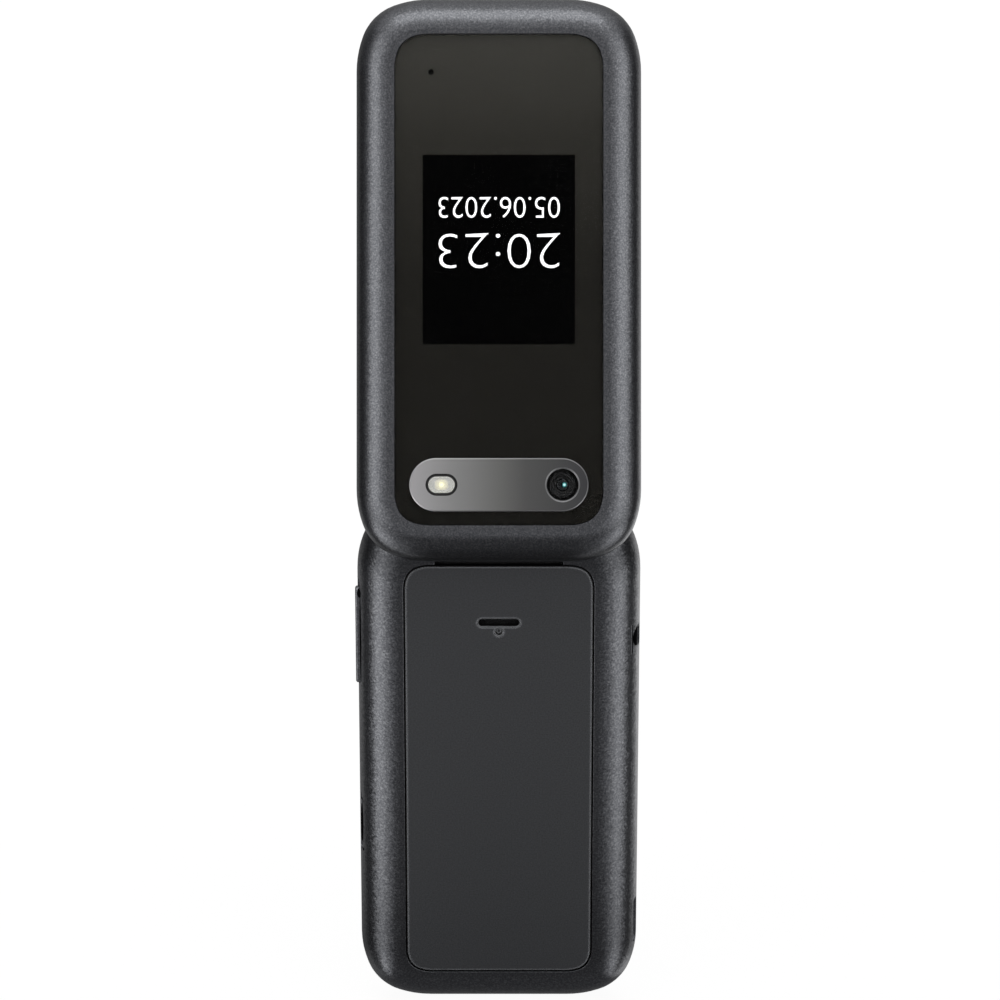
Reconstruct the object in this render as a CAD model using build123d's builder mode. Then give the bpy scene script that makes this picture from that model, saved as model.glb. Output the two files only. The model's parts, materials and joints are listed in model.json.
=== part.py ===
from build123d import *
import os
from math import cos, radians, sin

# Clamshell phone, opened to its stop. Millimetres. +X is the side of the volume key, +Y the rear of the
# base and +Z from the base's far end towards the hinge. The origin is the middle of the battery cover's
# outer face. Inside the base, places are given as (x, s, b): s runs down from the hinge axis and b from
# the axis towards the rear. Inside the lid they are (x, a, n): a runs along the lid from the hinge axis,
# n out towards its outer face, and local x points to -X.

# ---------------------------------------------------------------- both halves
base_width = 55.0
base_length = 108.0
base_thickness = 10.5
lid_width = base_width - 0.4
lid_length = base_length - 0.2
lid_thickness = 8.1
fold_gap = 0.3  # left between the two halves when they are closed
open_angle = 155.0  # from closed to the open stop
corner_reach = 13.9  # how far from the sharp corner each soft corner begins
corner_tip = 0.7176  # radius of its middle arc, as a share of that reach
flank_turn = 20.0  # degrees that the flatter arc on each side of it turns through
base_rear_round = 8.0
base_front_round = 1.6
base_parting = 2.25  # depth of the front housing
lid_outer_round = 6.0
lid_inner_round = 1.2
lid_parting = 2.0  # depth of the inner housing
shell_wall = 1.6
seat_gap = 0.05  # between pieces that seat against each other
slip = 0.05  # radial running clearance of the hinge

# ---------------------------------------------------------------- battery cover
cover_width = base_width - 18.4
cover_thickness = 1.1
cover_start = 4.35  # from the hinge axis
cover_length = base_length - base_thickness / 2 - 8.7 - cover_start
cover_seam = 0.22
cover_edge = 0.15
cover_reach = 5.0
slot_length = 8.0
slot_width = 1.5
slot_place = 16.6
nail_dimple_radius = 0.7
nail_dimple_depth = 0.6
nail_dimple_place = 18.6
speaker_mesh_lip = 1.0
speaker_mesh_thickness = 0.2

# ---------------------------------------------------------------- inside the base
battery_width = cover_width - 2.6
battery_thickness = 4.8
battery_gap = 0.3
battery_start = 37.6
battery_length = cover_start + cover_length - 5.45 - battery_start
speaker_width = 20.0
speaker_length = 12.0
speaker_thickness = 3.3
sim_width = battery_width - 8.0
sim_length = 9.4
sim_thickness = 1.4
sim_start = 25.4
contact_width = 13.0
contact_depth = 1.8
contact_height = 3.2
board_thickness = 0.8
board_start = 9.0
board_end_gap = 1.0
board_side_gap = 1.35  # from the side channels' walls, clear of the side keys
shield_length = battery_length - 13.0
shield_height = 2.4
membrane_thickness = 0.3
dome_height = 0.25
dome_sheet_thickness = 0.08
dome_radius = 2.0
dome_inset = 2.4  # of the ring's four domes from its edge
rib_wall = 1.2  # between the battery bay and the side channels
channel_inset = 3.6
channel_height = 5.0
cavity_start = 8.0
screw_x = base_width / 2 - 12.9
screw_top = 6.9
screw_bottom_margin = 2.5  # from the cover's far end
screw_head_radius = 1.3
screw_head_height = 0.8
screw_shank_radius = 0.7
screw_length = 3.9
screw_sides = 12
screw_cross = 1.4
screw_cross_width = 0.35
boss_radius = 1.8

# ---------------------------------------------------------------- keypad
deck_drop = 0.5  # the keypad panel lies this far below the rim
deck_thickness = 1.0
deck_width = base_width - 6.0
deck_start = 7.6
deck_margin = 22.0
deck_length = base_length - deck_margin
deck_round = 4.0
key_proud = 0.4  # above the deck
key_flange = 0.5
key_lip = 0.45
key_gap = 0.15
key_travel = 0.3
key_round = 2.0
key_edge = 0.25
key_row_gap = 1.2
key_field_edge = 0.2  # between the outer keys' pitch lines and the panel's edge
digit_pitch_x = (deck_width - 2 * key_field_edge) / 3
digit_width = digit_pitch_x - key_row_gap
side_key_step = 2.6  # the keys beside the ring are narrower than the digit keys by this
side_key_width = digit_width - side_key_step
side_key_height = 11.6
side_key_edge = 0.9
side_key_x = (deck_width - side_key_width) / 2 - side_key_edge
side_key_row_gap = 1.3
soft_key_start = 8.4  # to its middle, from the panel's edge
soft_key_place = deck_start + soft_key_start
call_key_place = soft_key_place + side_key_height + side_key_row_gap
digit_field_gap = 14.3  # between the middles of the call key and of the first row
digit_start = call_key_place + digit_field_gap
digit_far_edge = 10.8  # from the last row's middle to the panel's edge
digit_pitch_s = (deck_start + deck_length - digit_start - digit_far_edge) / 3
digit_height = digit_pitch_s - key_row_gap
nav_place = (soft_key_place + call_key_place) / 2
nav_side_gap = 1.4
nav_size = 2 * side_key_x - side_key_width - 2 * nav_side_gap
nav_round = 6.0
nav_flange = 0.25  # thin, so that the ring has room to tilt
nav_band = 4.8
nav_hole_radius = nav_size / 2 - nav_band
nav_centre_radius = nav_hole_radius - 0.4

# ---------------------------------------------------------------- sides of the base
volume_key_place = 22.35
volume_key_length = 20.8
volume_key_height = 2.4
volume_key_proud = 0.45
volume_scoop = 2.0  # the pocket runs on past the key towards the hinge
alert_key_place = 63.5
alert_key_length = 9.3
alert_key_height = 2.2
alert_recess_length = 13.3
alert_recess_depth = 0.5
side_key_b = -1.5  # depth of both keys' middle line
side_key_gap = 0.15
side_flange = 0.6
rock_gap = 0.3  # lets the ends of the volume key swing out
side_pocket_depth = 0.6
jack_place = 21.8
jack_bore_radius = 1.8
jack_mouth_radius = 2.75  # of the countersunk mouth, at the widest line
jack_body_width = 5.8
jack_body_length = 12.0
jack_body_height = 4.3
jack_b = -0.3  # depth of its axis
jack_pocket_gap = 0.3
usb_width = 7.4
usb_height = 2.6
usb_length = 5.6
usb_wall = 0.3
lanyard_place = base_length - 21.0
lanyard_pitch = 2.4
lanyard_radius = 0.55
lanyard_depth = 2.8
lanyard_b = -0.5
lanyard_recess = 0.7
lanyard_recess_length = 10.0
motor_radius = 1.65
motor_length = 8.0
motor_place = 46.0
weight_radius = 1.3
weight_length = 2.6
microphone_width = 3.6
microphone_length = 2.8
microphone_port = 0.5
antenna_width = 13.0
antenna_depth = 2.6
antenna_thickness = 0.2
antenna_port_gap = 0.8
antenna_x = -(usb_width + antenna_width) / 2 - antenna_port_gap
antenna_slit = 0.6
antenna_pitch = 3.0

# ---------------------------------------------------------------- hinge
notch_radius = 6.8
notch_half = base_width / 2 - 15.05
barrel_radius = 5.1
barrel_gap = 0.3
neck_reach = 2.5
drive_radius = 2.7
drive_flat = 4.6
cam_radius = 2.4
cam_flat = 4.0
cam_shaft_radius = 1.2
sleeve_radius = 2.6
sleeve_wall = 0.7
knuckle_half = base_width / 2 - 8.5  # the knuckles round the bores end here
knuckle_round = 2.5
ear_depth = base_width / 2 - 8.1  # where the bores in the ears end
sleeve_end = base_width / 2 - 11.5
bore_end = 3.0  # of the lid's sleeve bore, from the middle
sleeve_length = sleeve_end - bore_end - 0.6
flex_width = 2.4
flex_thickness = 0.2
flex_b = -1.4  # depth of its tail
flex_tail = 11.2

# ---------------------------------------------------------------- lid, outer side
window_width = lid_width - 15.0
window_far_margin = 7.2
window_near_margin = 7.1
window_thickness = 1.0
window_reach = 6.4
window_seam = 0.1
pill_length = window_width - 5.4
pill_width = 10.15
pill_place = 9.45
pill_proud = 0.25
flash_x = 6.15 - pill_length / 2
flash_length = 6.1
flash_width = 4.2
flash_rim = 0.5
led_width = 2.6
led_length = 1.9
camera_x = pill_length / 2 - 4.95
camera_radius = 3.0
camera_bevel = 0.35
camera_glass_thickness = 0.5
camera_body = 7.6
camera_barrel_radius = 2.5
pinhole_x = 6.85 - window_width / 2
pinhole_margin = 14.35
pinhole_radius = 0.55
outer_view_width = window_width - 10.5
outer_view_length = 36.2
outer_view_margin = 30.1
outer_display_frame = 2.2
outer_display_thickness = 2.2

# ---------------------------------------------------------------- lid, inner side
inner_window_width = lid_width - 7.6
inner_window_length = lid_length - 32.3
inner_window_start = 17.0
inner_window_thickness = 0.8
inner_window_round = 3.0
inner_view_margin = 18.6
inner_view_width = inner_window_width - 4.3
inner_view_length = inner_window_length - inner_view_margin
inner_display_frame = 1.8
inner_display_thickness = 2.1
inner_display_place = inner_window_start + inner_window_length / 2 + 0.25
lid_board_width = inner_window_width - 5.0
lid_board_start = 16.4
lid_board_length = inner_window_length - 3.5
lid_board_thickness = 0.6
earpiece_place = inner_window_start + inner_window_length + 4.5
earpiece_slot = 9.0
earpiece_slot_width = 1.3
earpiece_length = 12.0
earpiece_width = 5.0
earpiece_thickness = 2.0
bumper_radius = 2.1
bumper_proud = 0.25
bumper_thickness = 0.85
bumper_x = lid_width / 2 - 6.7
bumper_near = 9.0
bumper_far = lid_length - 10.6
magnet_radius = 2.4
magnet_thickness = 1.6
magnet_x = lid_width / 2 - 12.3
magnet_place = lid_length - 16.2

# ---------------------------------------------------------------- places worked out from the sizes above
half_base = base_thickness / 2
hinge_y = -half_base
hinge_z = cover_start + cover_length / 2
base_far = base_length - half_base
cover_end = cover_start + cover_length
cover_seat = half_base - cover_thickness
parting_b = -half_base + base_parting
deck_front = -half_base + deck_drop
deck_back = deck_front + deck_thickness
key_back = deck_back + seat_gap + key_flange
membrane_front = key_back + key_travel + seat_gap
dome_front = membrane_front + membrane_thickness + seat_gap
board_front = dome_front + dome_height
board_back = board_front + board_thickness
cavity_back = board_back + 2 * seat_gap
bay_floor = cover_seat - 2 * seat_gap - battery_thickness - seat_gap
battery_mid = battery_start + battery_length / 2
bay_half = battery_width / 2 + battery_gap
block_half = bay_half + rib_wall
board_width = base_width - 2 * (channel_inset + board_side_gap)
board_end = base_far - shell_wall - board_end_gap
screw_bottom = cover_end - screw_bottom_margin
screw_seat = board_back + 2.0
channel_top = parting_b + channel_height
speaker_floor = cover_seat - 2 * speaker_mesh_thickness - speaker_thickness
side_face = base_width / 2
channel_wall = side_face - channel_inset

tilt = radians(180 - open_angle)
lid_out = Vector(0, cos(tilt), sin(tilt))
lid_along = Vector(0, -sin(tilt), cos(tilt))
hinge_point = Vector(0, hinge_y, hinge_z)
hinge_axis = Axis(hinge_point, (1, 0, 0))
lid_inner = half_base + fold_gap
lid_outer = lid_inner + lid_thickness
lid_near = -half_base
lid_far = lid_near + lid_length
lid_parting_n = lid_inner + lid_parting
window_near = lid_near + window_near_margin
window_far = lid_far - window_far_margin
window_back = lid_outer - window_seam / 2 - window_thickness
window_seat = window_back - seat_gap
outer_view_place = lid_far - outer_view_margin - outer_view_length / 2
outer_plate_back = window_seat - 1.0
lid_cavity_margin = 2.4
barrel_half = notch_half - barrel_gap


def base_plane(b):
    """Plane across the base at depth b: its x is +X and its y runs down from the hinge."""
    return Plane(origin=(0, hinge_y + b, hinge_z), x_dir=(1, 0, 0), z_dir=(0, 1, 0))


def base_profile_plane(x=0.0):
    """Plane along the base's length at x: its x is s and its y is b."""
    return Plane(origin=(x, hinge_y, hinge_z), x_dir=(0, 0, -1), z_dir=(1, 0, 0))


def lid_plane(n):
    """Plane across the lid at height n: its y runs along the lid from the hinge."""
    return Plane(origin=hinge_point + lid_out * n, x_dir=(-1, 0, 0), z_dir=lid_out)


def lid_profile_plane(x=0.0):
    """Plane along the lid's length at local x: its x is a and its y is n."""
    return Plane(origin=hinge_point - Vector(x, 0, 0), x_dir=lid_along, z_dir=(-1, 0, 0))


def soft_outline(width, low, high, reach):
    """Adds a rectangle whose corners are three arcs each, flatter at their ends than in the middle."""
    half = width / 2
    corners = [Vector(half, low), Vector(half, high), Vector(-half, high), Vector(-half, low)]
    turn = radians(flank_turn)
    tip = reach * corner_tip
    flank = (reach - tip * (cos(turn) - sin(turn))) / (1 + sin(turn) - cos(turn))
    with BuildLine() as outline:
        for place, corner in enumerate(corners):
            after = corners[(place + 1) % 4]
            onward = (corner - corners[place - 1]).normalized()
            leaving = (after - corner).normalized()
            first = JernArc(corner - onward * reach, onward, flank, flank_turn)
            middle = JernArc(first @ 1, first % 1, tip, 90 - 2 * flank_turn)
            last = JernArc(middle @ 1, middle % 1, flank, flank_turn)
            Line(last @ 1, after - leaving * reach)
    make_face(outline.edges())


def cavity_outline(inset):
    """Adds the base's outline, set in by a wall and cut off short of the hinge."""
    soft_outline(base_width - 2 * inset, inset - half_base, base_far - inset, corner_reach - inset)
    with Locations((0, (cavity_start + base_far) / 2)):
        Rectangle(base_width, base_far - cavity_start, mode=Mode.INTERSECT)


def double_d(radius, flats):
    """Adds a disc with two flats, the section of a driven shaft."""
    Circle(radius)
    Rectangle(2 * radius, flats, mode=Mode.INTERSECT)


# ================================================================ base
# The outer form that both housings share: a slab with a full rear edge, rounded about the hinge axis.
with BuildPart() as base_form:
    with BuildSketch(base_plane(-half_base)):
        soft_outline(base_width, -half_base, base_far, corner_reach)
    extrude(amount=base_thickness)
    fillet(base_form.faces().sort_by(Axis.Y)[-1].edges(), base_rear_round)
    fillet(base_form.faces().sort_by(Axis.Y)[0].edges(), base_front_round)
    with BuildSketch(base_profile_plane()):
        Circle(half_base)
        with Locations((base_length / 2, 0)):
            Rectangle(base_length, base_thickness)
    extrude(amount=base_width, both=True, mode=Mode.INTERSECT)
    # Knuckles round the hinge bores. Their profile is drawn on the slab's side of the axis.
    with BuildSketch(base_plane(0)) as knuckle:
        with Locations((0, half_base / 2)):
            Rectangle(2 * knuckle_half, half_base)
        fillet(knuckle.vertices().group_by(Axis.Y)[-1], knuckle_round)
    revolve(axis=hinge_axis)
    # The notch that takes the lid's barrel.
    with BuildSketch(base_profile_plane()):
        Circle(notch_radius)
    extrude(amount=notch_half, both=True, mode=Mode.SUBTRACT)

screw_places = [(x, s) for x in (-screw_x, screw_x) for s in (screw_top, screw_bottom)]

# Rear housing: the battery bay and the pockets behind the cover, the board's cavity and the side channels.
with BuildPart() as rear_housing:
    add(base_form.part)
    split(bisect_by=base_plane(parting_b), keep=Keep.TOP)
    with BuildSketch(base_plane(half_base)):
        soft_outline(
            cover_width + 2 * cover_seam, cover_start - cover_seam, cover_end + cover_seam, cover_reach + cover_seam
        )
    extrude(amount=-cover_thickness, mode=Mode.SUBTRACT)
    with BuildSketch(base_plane(cover_seat)):
        with Locations((0, battery_mid)):
            RectangleRounded(2 * bay_half, battery_length + 2 * battery_gap, 1.0)
        with Locations((0, (sim_start + battery_start) / 2)):
            Rectangle(sim_width + 2 * battery_gap, battery_start - sim_start + 2 * battery_gap)
    extrude(amount=bay_floor - cover_seat, mode=Mode.SUBTRACT)
    with BuildSketch(base_plane(cover_seat)):
        with Locations((0, slot_place)):
            RectangleRounded(speaker_width + 2 * battery_gap, speaker_length + 2 * battery_gap, 1.5)
    extrude(amount=speaker_floor - cover_seat, mode=Mode.SUBTRACT)
    with BuildSketch(base_plane(parting_b)):
        cavity_outline(shell_wall)
    extrude(amount=cavity_back - parting_b, mode=Mode.SUBTRACT)
    with BuildSketch(base_plane(parting_b)):
        cavity_outline(channel_inset)
        with Locations((0, (cavity_start + cover_end) / 2)):
            Rectangle(2 * block_half, cover_end - cavity_start + 2 * rib_wall, mode=Mode.SUBTRACT)
    extrude(amount=channel_height, mode=Mode.SUBTRACT)
    # Screws: a counterbore from the cover's seat and a clear hole below it.
    with BuildSketch(base_plane(cover_seat)):
        with Locations(*screw_places):
            Circle(screw_head_radius + 0.3)
    extrude(amount=screw_seat - cover_seat, mode=Mode.SUBTRACT)
    with BuildSketch(base_plane(parting_b)):
        with Locations(*screw_places):
            Circle(screw_shank_radius + seat_gap)
    extrude(amount=screw_seat - parting_b, mode=Mode.SUBTRACT)
    with BuildSketch(base_plane(parting_b)):
        with Locations(*screw_places):
            Circle(boss_radius + 0.2)
    extrude(amount=cavity_back - parting_b, mode=Mode.SUBTRACT)
    # Hinge bores in the two ears: a driven socket on +X, a plain bore on -X with a way out for the flex.
    with BuildSketch(base_profile_plane(ear_depth)):
        double_d(cam_radius + seat_gap, cam_flat + 2 * seat_gap)
    extrude(amount=-(ear_depth - notch_half + 1), mode=Mode.SUBTRACT)
    with BuildSketch(base_profile_plane(-ear_depth)):
        Circle(sleeve_radius + slip)
    extrude(amount=ear_depth - notch_half + 1, mode=Mode.SUBTRACT)
    with BuildSketch(base_plane(flex_b - 0.5)):
        with Locations((-(sleeve_end + ear_depth) / 2, (flex_tail + 0.8) / 2)):
            Rectangle(ear_depth - sleeve_end, flex_tail + 0.8)
    extrude(amount=1.2, mode=Mode.SUBTRACT)
    # Audio jack: a pocket over the board and a round way out through the side.
    with BuildSketch(base_plane(parting_b)):
        with Locations((-(side_face - shell_wall - jack_body_length / 2), jack_place)):
            Rectangle(jack_body_length + 2 * 0.2, jack_body_width + 2 * 0.2)
    extrude(amount=jack_b + jack_body_height / 2 - parting_b + 0.2, mode=Mode.SUBTRACT)
    with BuildSketch(base_profile_plane(-side_face)):
        with Locations((jack_place, jack_b)):
            Circle(jack_bore_radius + 2 * seat_gap)
    extrude(amount=shell_wall + 1, mode=Mode.SUBTRACT)
    with BuildSketch(base_profile_plane(-side_face)):
        with Locations((jack_place, jack_b)):
            Circle(jack_mouth_radius)
    extrude(amount=jack_mouth_radius - jack_bore_radius, taper=45, mode=Mode.SUBTRACT)
    # Charging port at the far end.
    with BuildSketch(base_plane(board_back)):
        with Locations((0, base_far - shell_wall - usb_length / 2)):
            Rectangle(usb_width + 0.4, usb_length + 0.4)
    extrude(amount=usb_height + 0.3, mode=Mode.SUBTRACT)
    with BuildSketch(base_plane(board_back + usb_height / 2)):
        with Locations((0, base_far)):
            Rectangle(usb_width - 2 * usb_wall, 4 * shell_wall)
    extrude(amount=usb_height / 2 - usb_wall, both=True, mode=Mode.SUBTRACT)
    # Volume key: a slot through the wall, with a scoop that runs on towards the hinge.
    with BuildSketch(base_profile_plane(channel_wall - 1)):
        with Locations((volume_key_place, side_key_b)):
            SlotOverall(volume_key_length + 2 * side_key_gap, volume_key_height + 2 * side_key_gap)
    extrude(amount=base_width, mode=Mode.SUBTRACT)
    with BuildSketch(base_profile_plane(side_face - side_pocket_depth)):
        with Locations((volume_key_place - volume_scoop / 2, side_key_b)):
            SlotOverall(volume_key_length + volume_scoop + 2 * side_key_gap, volume_key_height + 2 * side_key_gap)
    extrude(amount=base_width, mode=Mode.SUBTRACT)
    # Alert key: the same, below the surface of a longer recess.
    with BuildSketch(base_profile_plane(channel_wall - 1)):
        with Locations((alert_key_place, side_key_b)):
            SlotOverall(alert_key_length + 2 * side_key_gap, alert_key_height + 2 * side_key_gap)
    extrude(amount=base_width, mode=Mode.SUBTRACT)
    with BuildSketch(base_profile_plane(side_face - alert_recess_depth)):
        with Locations((alert_key_place - 0.3, side_key_b)):
            SlotOverall(alert_recess_length, alert_key_height + 0.6)
    extrude(amount=base_width, mode=Mode.SUBTRACT)
    # Lanyard eye: two holes in a shallow recess, joined behind the bar that is left between them.
    with BuildSketch(base_profile_plane(-side_face + lanyard_recess)):
        with Locations((lanyard_place - 1.6, lanyard_b)):
            SlotOverall(lanyard_recess_length, 2.2)
    extrude(amount=-base_width, mode=Mode.SUBTRACT)
    with BuildSketch(base_profile_plane(-side_face + lanyard_depth)):
        with Locations(*[(lanyard_place + side * lanyard_pitch / 2, lanyard_b) for side in (-1, 1)]):
            Circle(lanyard_radius)
    extrude(amount=-base_width, mode=Mode.SUBTRACT)
    with BuildSketch(base_profile_plane(-side_face + lanyard_depth)):
        with Locations((lanyard_place, lanyard_b)):
            SlotOverall(lanyard_pitch + 2 * lanyard_radius, 2 * lanyard_radius)
    extrude(amount=-2 * lanyard_radius, mode=Mode.SUBTRACT)

digit_names = ["key_1", "key_2", "key_3", "key_4", "key_5", "key_6", "key_7", "key_8", "key_9"]
digit_names += ["key_star", "key_0", "key_hash"]
key_places = {}
for place, name in enumerate(digit_names):
    column, row = place % 3 - 1, place // 3
    key_places[name] = (column * digit_pitch_x, digit_start + row * digit_pitch_s, digit_width, digit_height)
for name, x, s in (
    ("soft_key_left", -side_key_x, soft_key_place),
    ("soft_key_right", side_key_x, soft_key_place),
    ("call_key", -side_key_x, call_key_place),
    ("end_key", side_key_x, call_key_place),
):
    key_places[name] = (x, s, side_key_width, side_key_height)

# Front housing: the rim, the sunken keypad panel with its openings, and the bosses that take the screws.
with BuildPart() as front_housing:
    add(base_form.part)
    split(bisect_by=base_plane(parting_b), keep=Keep.BOTTOM)
    with BuildSketch(base_plane(deck_front)):
        with Locations((0, deck_start + deck_length / 2)):
            RectangleRounded(deck_width, deck_length, deck_round)
    extrude(amount=-base_thickness, mode=Mode.SUBTRACT)
    with BuildSketch(base_plane(parting_b)):
        cavity_outline(shell_wall)
    extrude(amount=deck_back - parting_b, mode=Mode.SUBTRACT)
    with BuildSketch(base_plane(deck_back)):
        with Locations(*screw_places):
            Circle(boss_radius)
    extrude(amount=cavity_back - seat_gap - deck_back)
    with BuildSketch(base_plane(cavity_back)):
        with Locations(*screw_places):
            Circle(screw_shank_radius + seat_gap / 2)
    extrude(amount=deck_back - cavity_back, mode=Mode.SUBTRACT)
    with BuildSketch(base_plane(deck_back)):
        for x, s, width, height in key_places.values():
            with Locations((x, s)):
                RectangleRounded(width + 2 * key_gap, height + 2 * key_gap, key_round + key_gap)
        with Locations((0, nav_place)):
            RectangleRounded(nav_size + 2 * key_gap, nav_size + 2 * key_gap, nav_round + key_gap)
    extrude(amount=-base_thickness, mode=Mode.SUBTRACT)
    with BuildSketch(base_plane(deck_back)):
        with Locations((0, (deck_start + deck_length + base_far) / 2)):
            Circle(microphone_port)
    extrude(amount=-base_thickness, mode=Mode.SUBTRACT)

# Number, soft, call and end keys: a cap through the panel and a flange that holds it in.
keys = {}
for name, (x, s, width, height) in key_places.items():
    with BuildPart() as key:
        with BuildSketch(base_plane(key_back)):
            with Locations((x, s)):
                RectangleRounded(width, height, key_round)
        extrude(amount=deck_front - key_proud - key_back)
        chamfer(key.faces().sort_by(Axis.Y)[0].edges(), key_edge)
        with BuildSketch(base_plane(key_back)):
            with Locations((x, s)):
                Rectangle(width + 2 * key_lip, height + 2 * key_lip)
        extrude(amount=-key_flange)
    keys[name] = key

with BuildPart() as nav_ring:
    with BuildSketch(base_plane(key_back)):
        with Locations((0, nav_place)):
            RectangleRounded(nav_size, nav_size, nav_round)
    extrude(amount=deck_front - key_proud - key_back)
    chamfer(nav_ring.faces().sort_by(Axis.Y)[0].edges(), key_edge)
    with BuildSketch(base_plane(key_back)) as nav_ring_flange:
        with Locations((0, nav_place)):
            Rectangle(nav_size + 2 * key_lip, nav_size + 2 * key_lip)
        chamfer(nav_ring_flange.vertices(), nav_round / 2)
    extrude(amount=-nav_flange)
    with BuildSketch(base_plane(key_back)):
        with Locations((0, nav_place)):
            Circle(nav_hole_radius)
    extrude(amount=-base_thickness, mode=Mode.SUBTRACT)

with BuildPart() as nav_centre:
    with BuildSketch(base_plane(key_back)):
        with Locations((0, nav_place)):
            Circle(nav_centre_radius)
    extrude(amount=deck_front - key_proud - key_back)
    chamfer(nav_centre.faces().sort_by(Axis.Y)[0].edges(), key_edge)

# Silicone sheet under the keys, and the metal domes that it presses on.
with BuildPart() as keypad_membrane:
    with BuildSketch(base_plane(membrane_front)):
        with Locations((0, (board_start + screw_bottom - boss_radius - 0.4) / 2)):
            RectangleRounded(board_width, screw_bottom - boss_radius - 0.4 - board_start, 5.0)
    extrude(amount=membrane_thickness)

dome_places = [(x, s) for x, s, width, height in key_places.values()] + [(0, nav_place)]
dome_offsets = (dome_inset - nav_size / 2, nav_size / 2 - dome_inset)
dome_places += [(x, nav_place) for x in dome_offsets] + [(0, nav_place + s) for s in dome_offsets]
with BuildPart() as dome_sheet:
    with BuildSketch(base_plane(board_front)):
        with Locations((0, (board_start + screw_bottom - boss_radius - 0.4) / 2)):
            RectangleRounded(board_width - 1, screw_bottom - boss_radius - 1.4 - board_start, 5.0)
        with Locations((-(side_face - shell_wall - jack_body_length / 2), jack_place)):
            Rectangle(
                jack_body_length + 2 * jack_pocket_gap, jack_body_width + 2 * jack_pocket_gap, mode=Mode.SUBTRACT
            )
    extrude(amount=-dome_sheet_thickness)
    with BuildSketch(base_plane(board_front)):
        with Locations(*dome_places):
            RegularPolygon(dome_radius, 8)
    extrude(amount=-dome_height)

with BuildPart() as main_board:
    with BuildSketch(base_plane(board_front)):
        soft_outline(board_width, board_start, board_end, corner_reach - channel_inset - board_side_gap)
        with Locations(*[place for place in screw_places if place[1] > board_start]):
            Circle(boss_radius + 0.3, mode=Mode.SUBTRACT)
        with Locations((-(side_face - shell_wall - jack_body_length / 2), jack_place)):
            Rectangle(
                jack_body_length + 2 * jack_pocket_gap, jack_body_width + 2 * jack_pocket_gap, mode=Mode.SUBTRACT
            )
    extrude(amount=board_thickness)

with BuildPart() as rf_shield:
    with BuildSketch(base_plane(board_back)):
        with Locations((-(block_half + channel_wall) / 2, battery_mid)):
            Rectangle(channel_wall - block_half - rib_wall, shield_length)
    extrude(amount=shield_height)
    chamfer(rf_shield.faces().sort_by(Axis.Y)[-1].edges(), 0.3)

# Battery pack, its sprung contacts and the card holder.
with BuildPart() as battery:
    with BuildSketch(base_plane(bay_floor + seat_gap)):
        with Locations((0, battery_mid)):
            RectangleRounded(battery_width, battery_length, 1.2)
    extrude(amount=battery_thickness)
    chamfer(battery.faces().sort_by(Axis.Y)[-1].edges(), 0.3)

with BuildPart() as battery_contacts:
    with BuildSketch(base_plane(bay_floor)):
        with Locations((0, battery_start - battery_gap - contact_depth / 2)):
            Rectangle(contact_width, contact_depth)
    extrude(amount=contact_height)
    with BuildSketch(base_plane(bay_floor + 1.0)):
        with Locations(*[(x, battery_start - battery_gap) for x in (-4, 0, 4)]):
            Rectangle(1.2, 2 * battery_gap - 2 * seat_gap)
    extrude(amount=1.6)

with BuildPart() as sim_holder:
    with BuildSketch(base_plane(bay_floor)):
        with Locations((0, sim_start + sim_length / 2)):
            Rectangle(sim_width, sim_length)
    extrude(amount=sim_thickness)
    with BuildSketch(base_plane(bay_floor + sim_thickness)):
        with Locations((-sim_width / 4, sim_start + sim_length / 2), (sim_width / 4, sim_start + sim_length / 2)):
            RectangleRounded(sim_width / 2 - 3.0, sim_length - 3.0, 0.8)
    extrude(amount=-0.4, mode=Mode.SUBTRACT)

with BuildPart() as loudspeaker:
    with BuildSketch(base_plane(speaker_floor)):
        with Locations((0, slot_place)):
            RectangleRounded(speaker_width, speaker_length, 1.2)
    extrude(amount=speaker_thickness - 0.4)
    with BuildSketch(base_plane(speaker_floor + speaker_thickness - 0.4)):
        with Locations((0, slot_place)):
            RectangleRounded(speaker_width - 1, speaker_length - 1, 1.0)
            RectangleRounded(speaker_width - 4, speaker_length - 4, 3.0, mode=Mode.SUBTRACT)
    extrude(amount=0.4)

with BuildPart() as audio_jack:
    with BuildSketch(base_plane(jack_b - jack_body_height / 2)):
        with Locations((-(side_face - shell_wall - jack_body_length / 2), jack_place)):
            Rectangle(jack_body_length, jack_body_width)
    extrude(amount=jack_body_height)
    with BuildSketch(base_profile_plane(-side_face)):
        with Locations((jack_place, jack_b)):
            Circle(jack_bore_radius)
    extrude(amount=jack_body_length + shell_wall - 1.0, mode=Mode.SUBTRACT)

with BuildPart() as usb_port:
    with BuildSketch(base_plane(board_back)):
        with Locations((0, base_far - shell_wall - usb_length / 2)):
            Rectangle(usb_width, usb_length)
    extrude(amount=usb_height)
    with BuildSketch(base_plane(board_back + usb_height / 2)):
        with Locations((0, base_far - shell_wall - usb_length / 2 + usb_wall)):
            Rectangle(usb_width - 2 * usb_wall, usb_length)
    extrude(amount=usb_height / 2 - usb_wall, both=True, mode=Mode.SUBTRACT)
    with BuildSketch(base_plane(board_back + usb_height / 2)):
        with Locations((0, base_far - shell_wall - usb_length / 2 - 0.6)):
            Rectangle(usb_width - 1.8, usb_length - 1.2)
    extrude(amount=0.3, both=True)

motor_b = board_back + seat_gap + motor_radius
motor_x = (block_half + channel_wall) / 2
with BuildPart() as vibration_motor:
    with BuildSketch(Plane(origin=(motor_x, hinge_y + motor_b, hinge_z - motor_place), z_dir=(0, 0, -1))):
        Circle(motor_radius)
    extrude(amount=motor_length)

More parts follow.
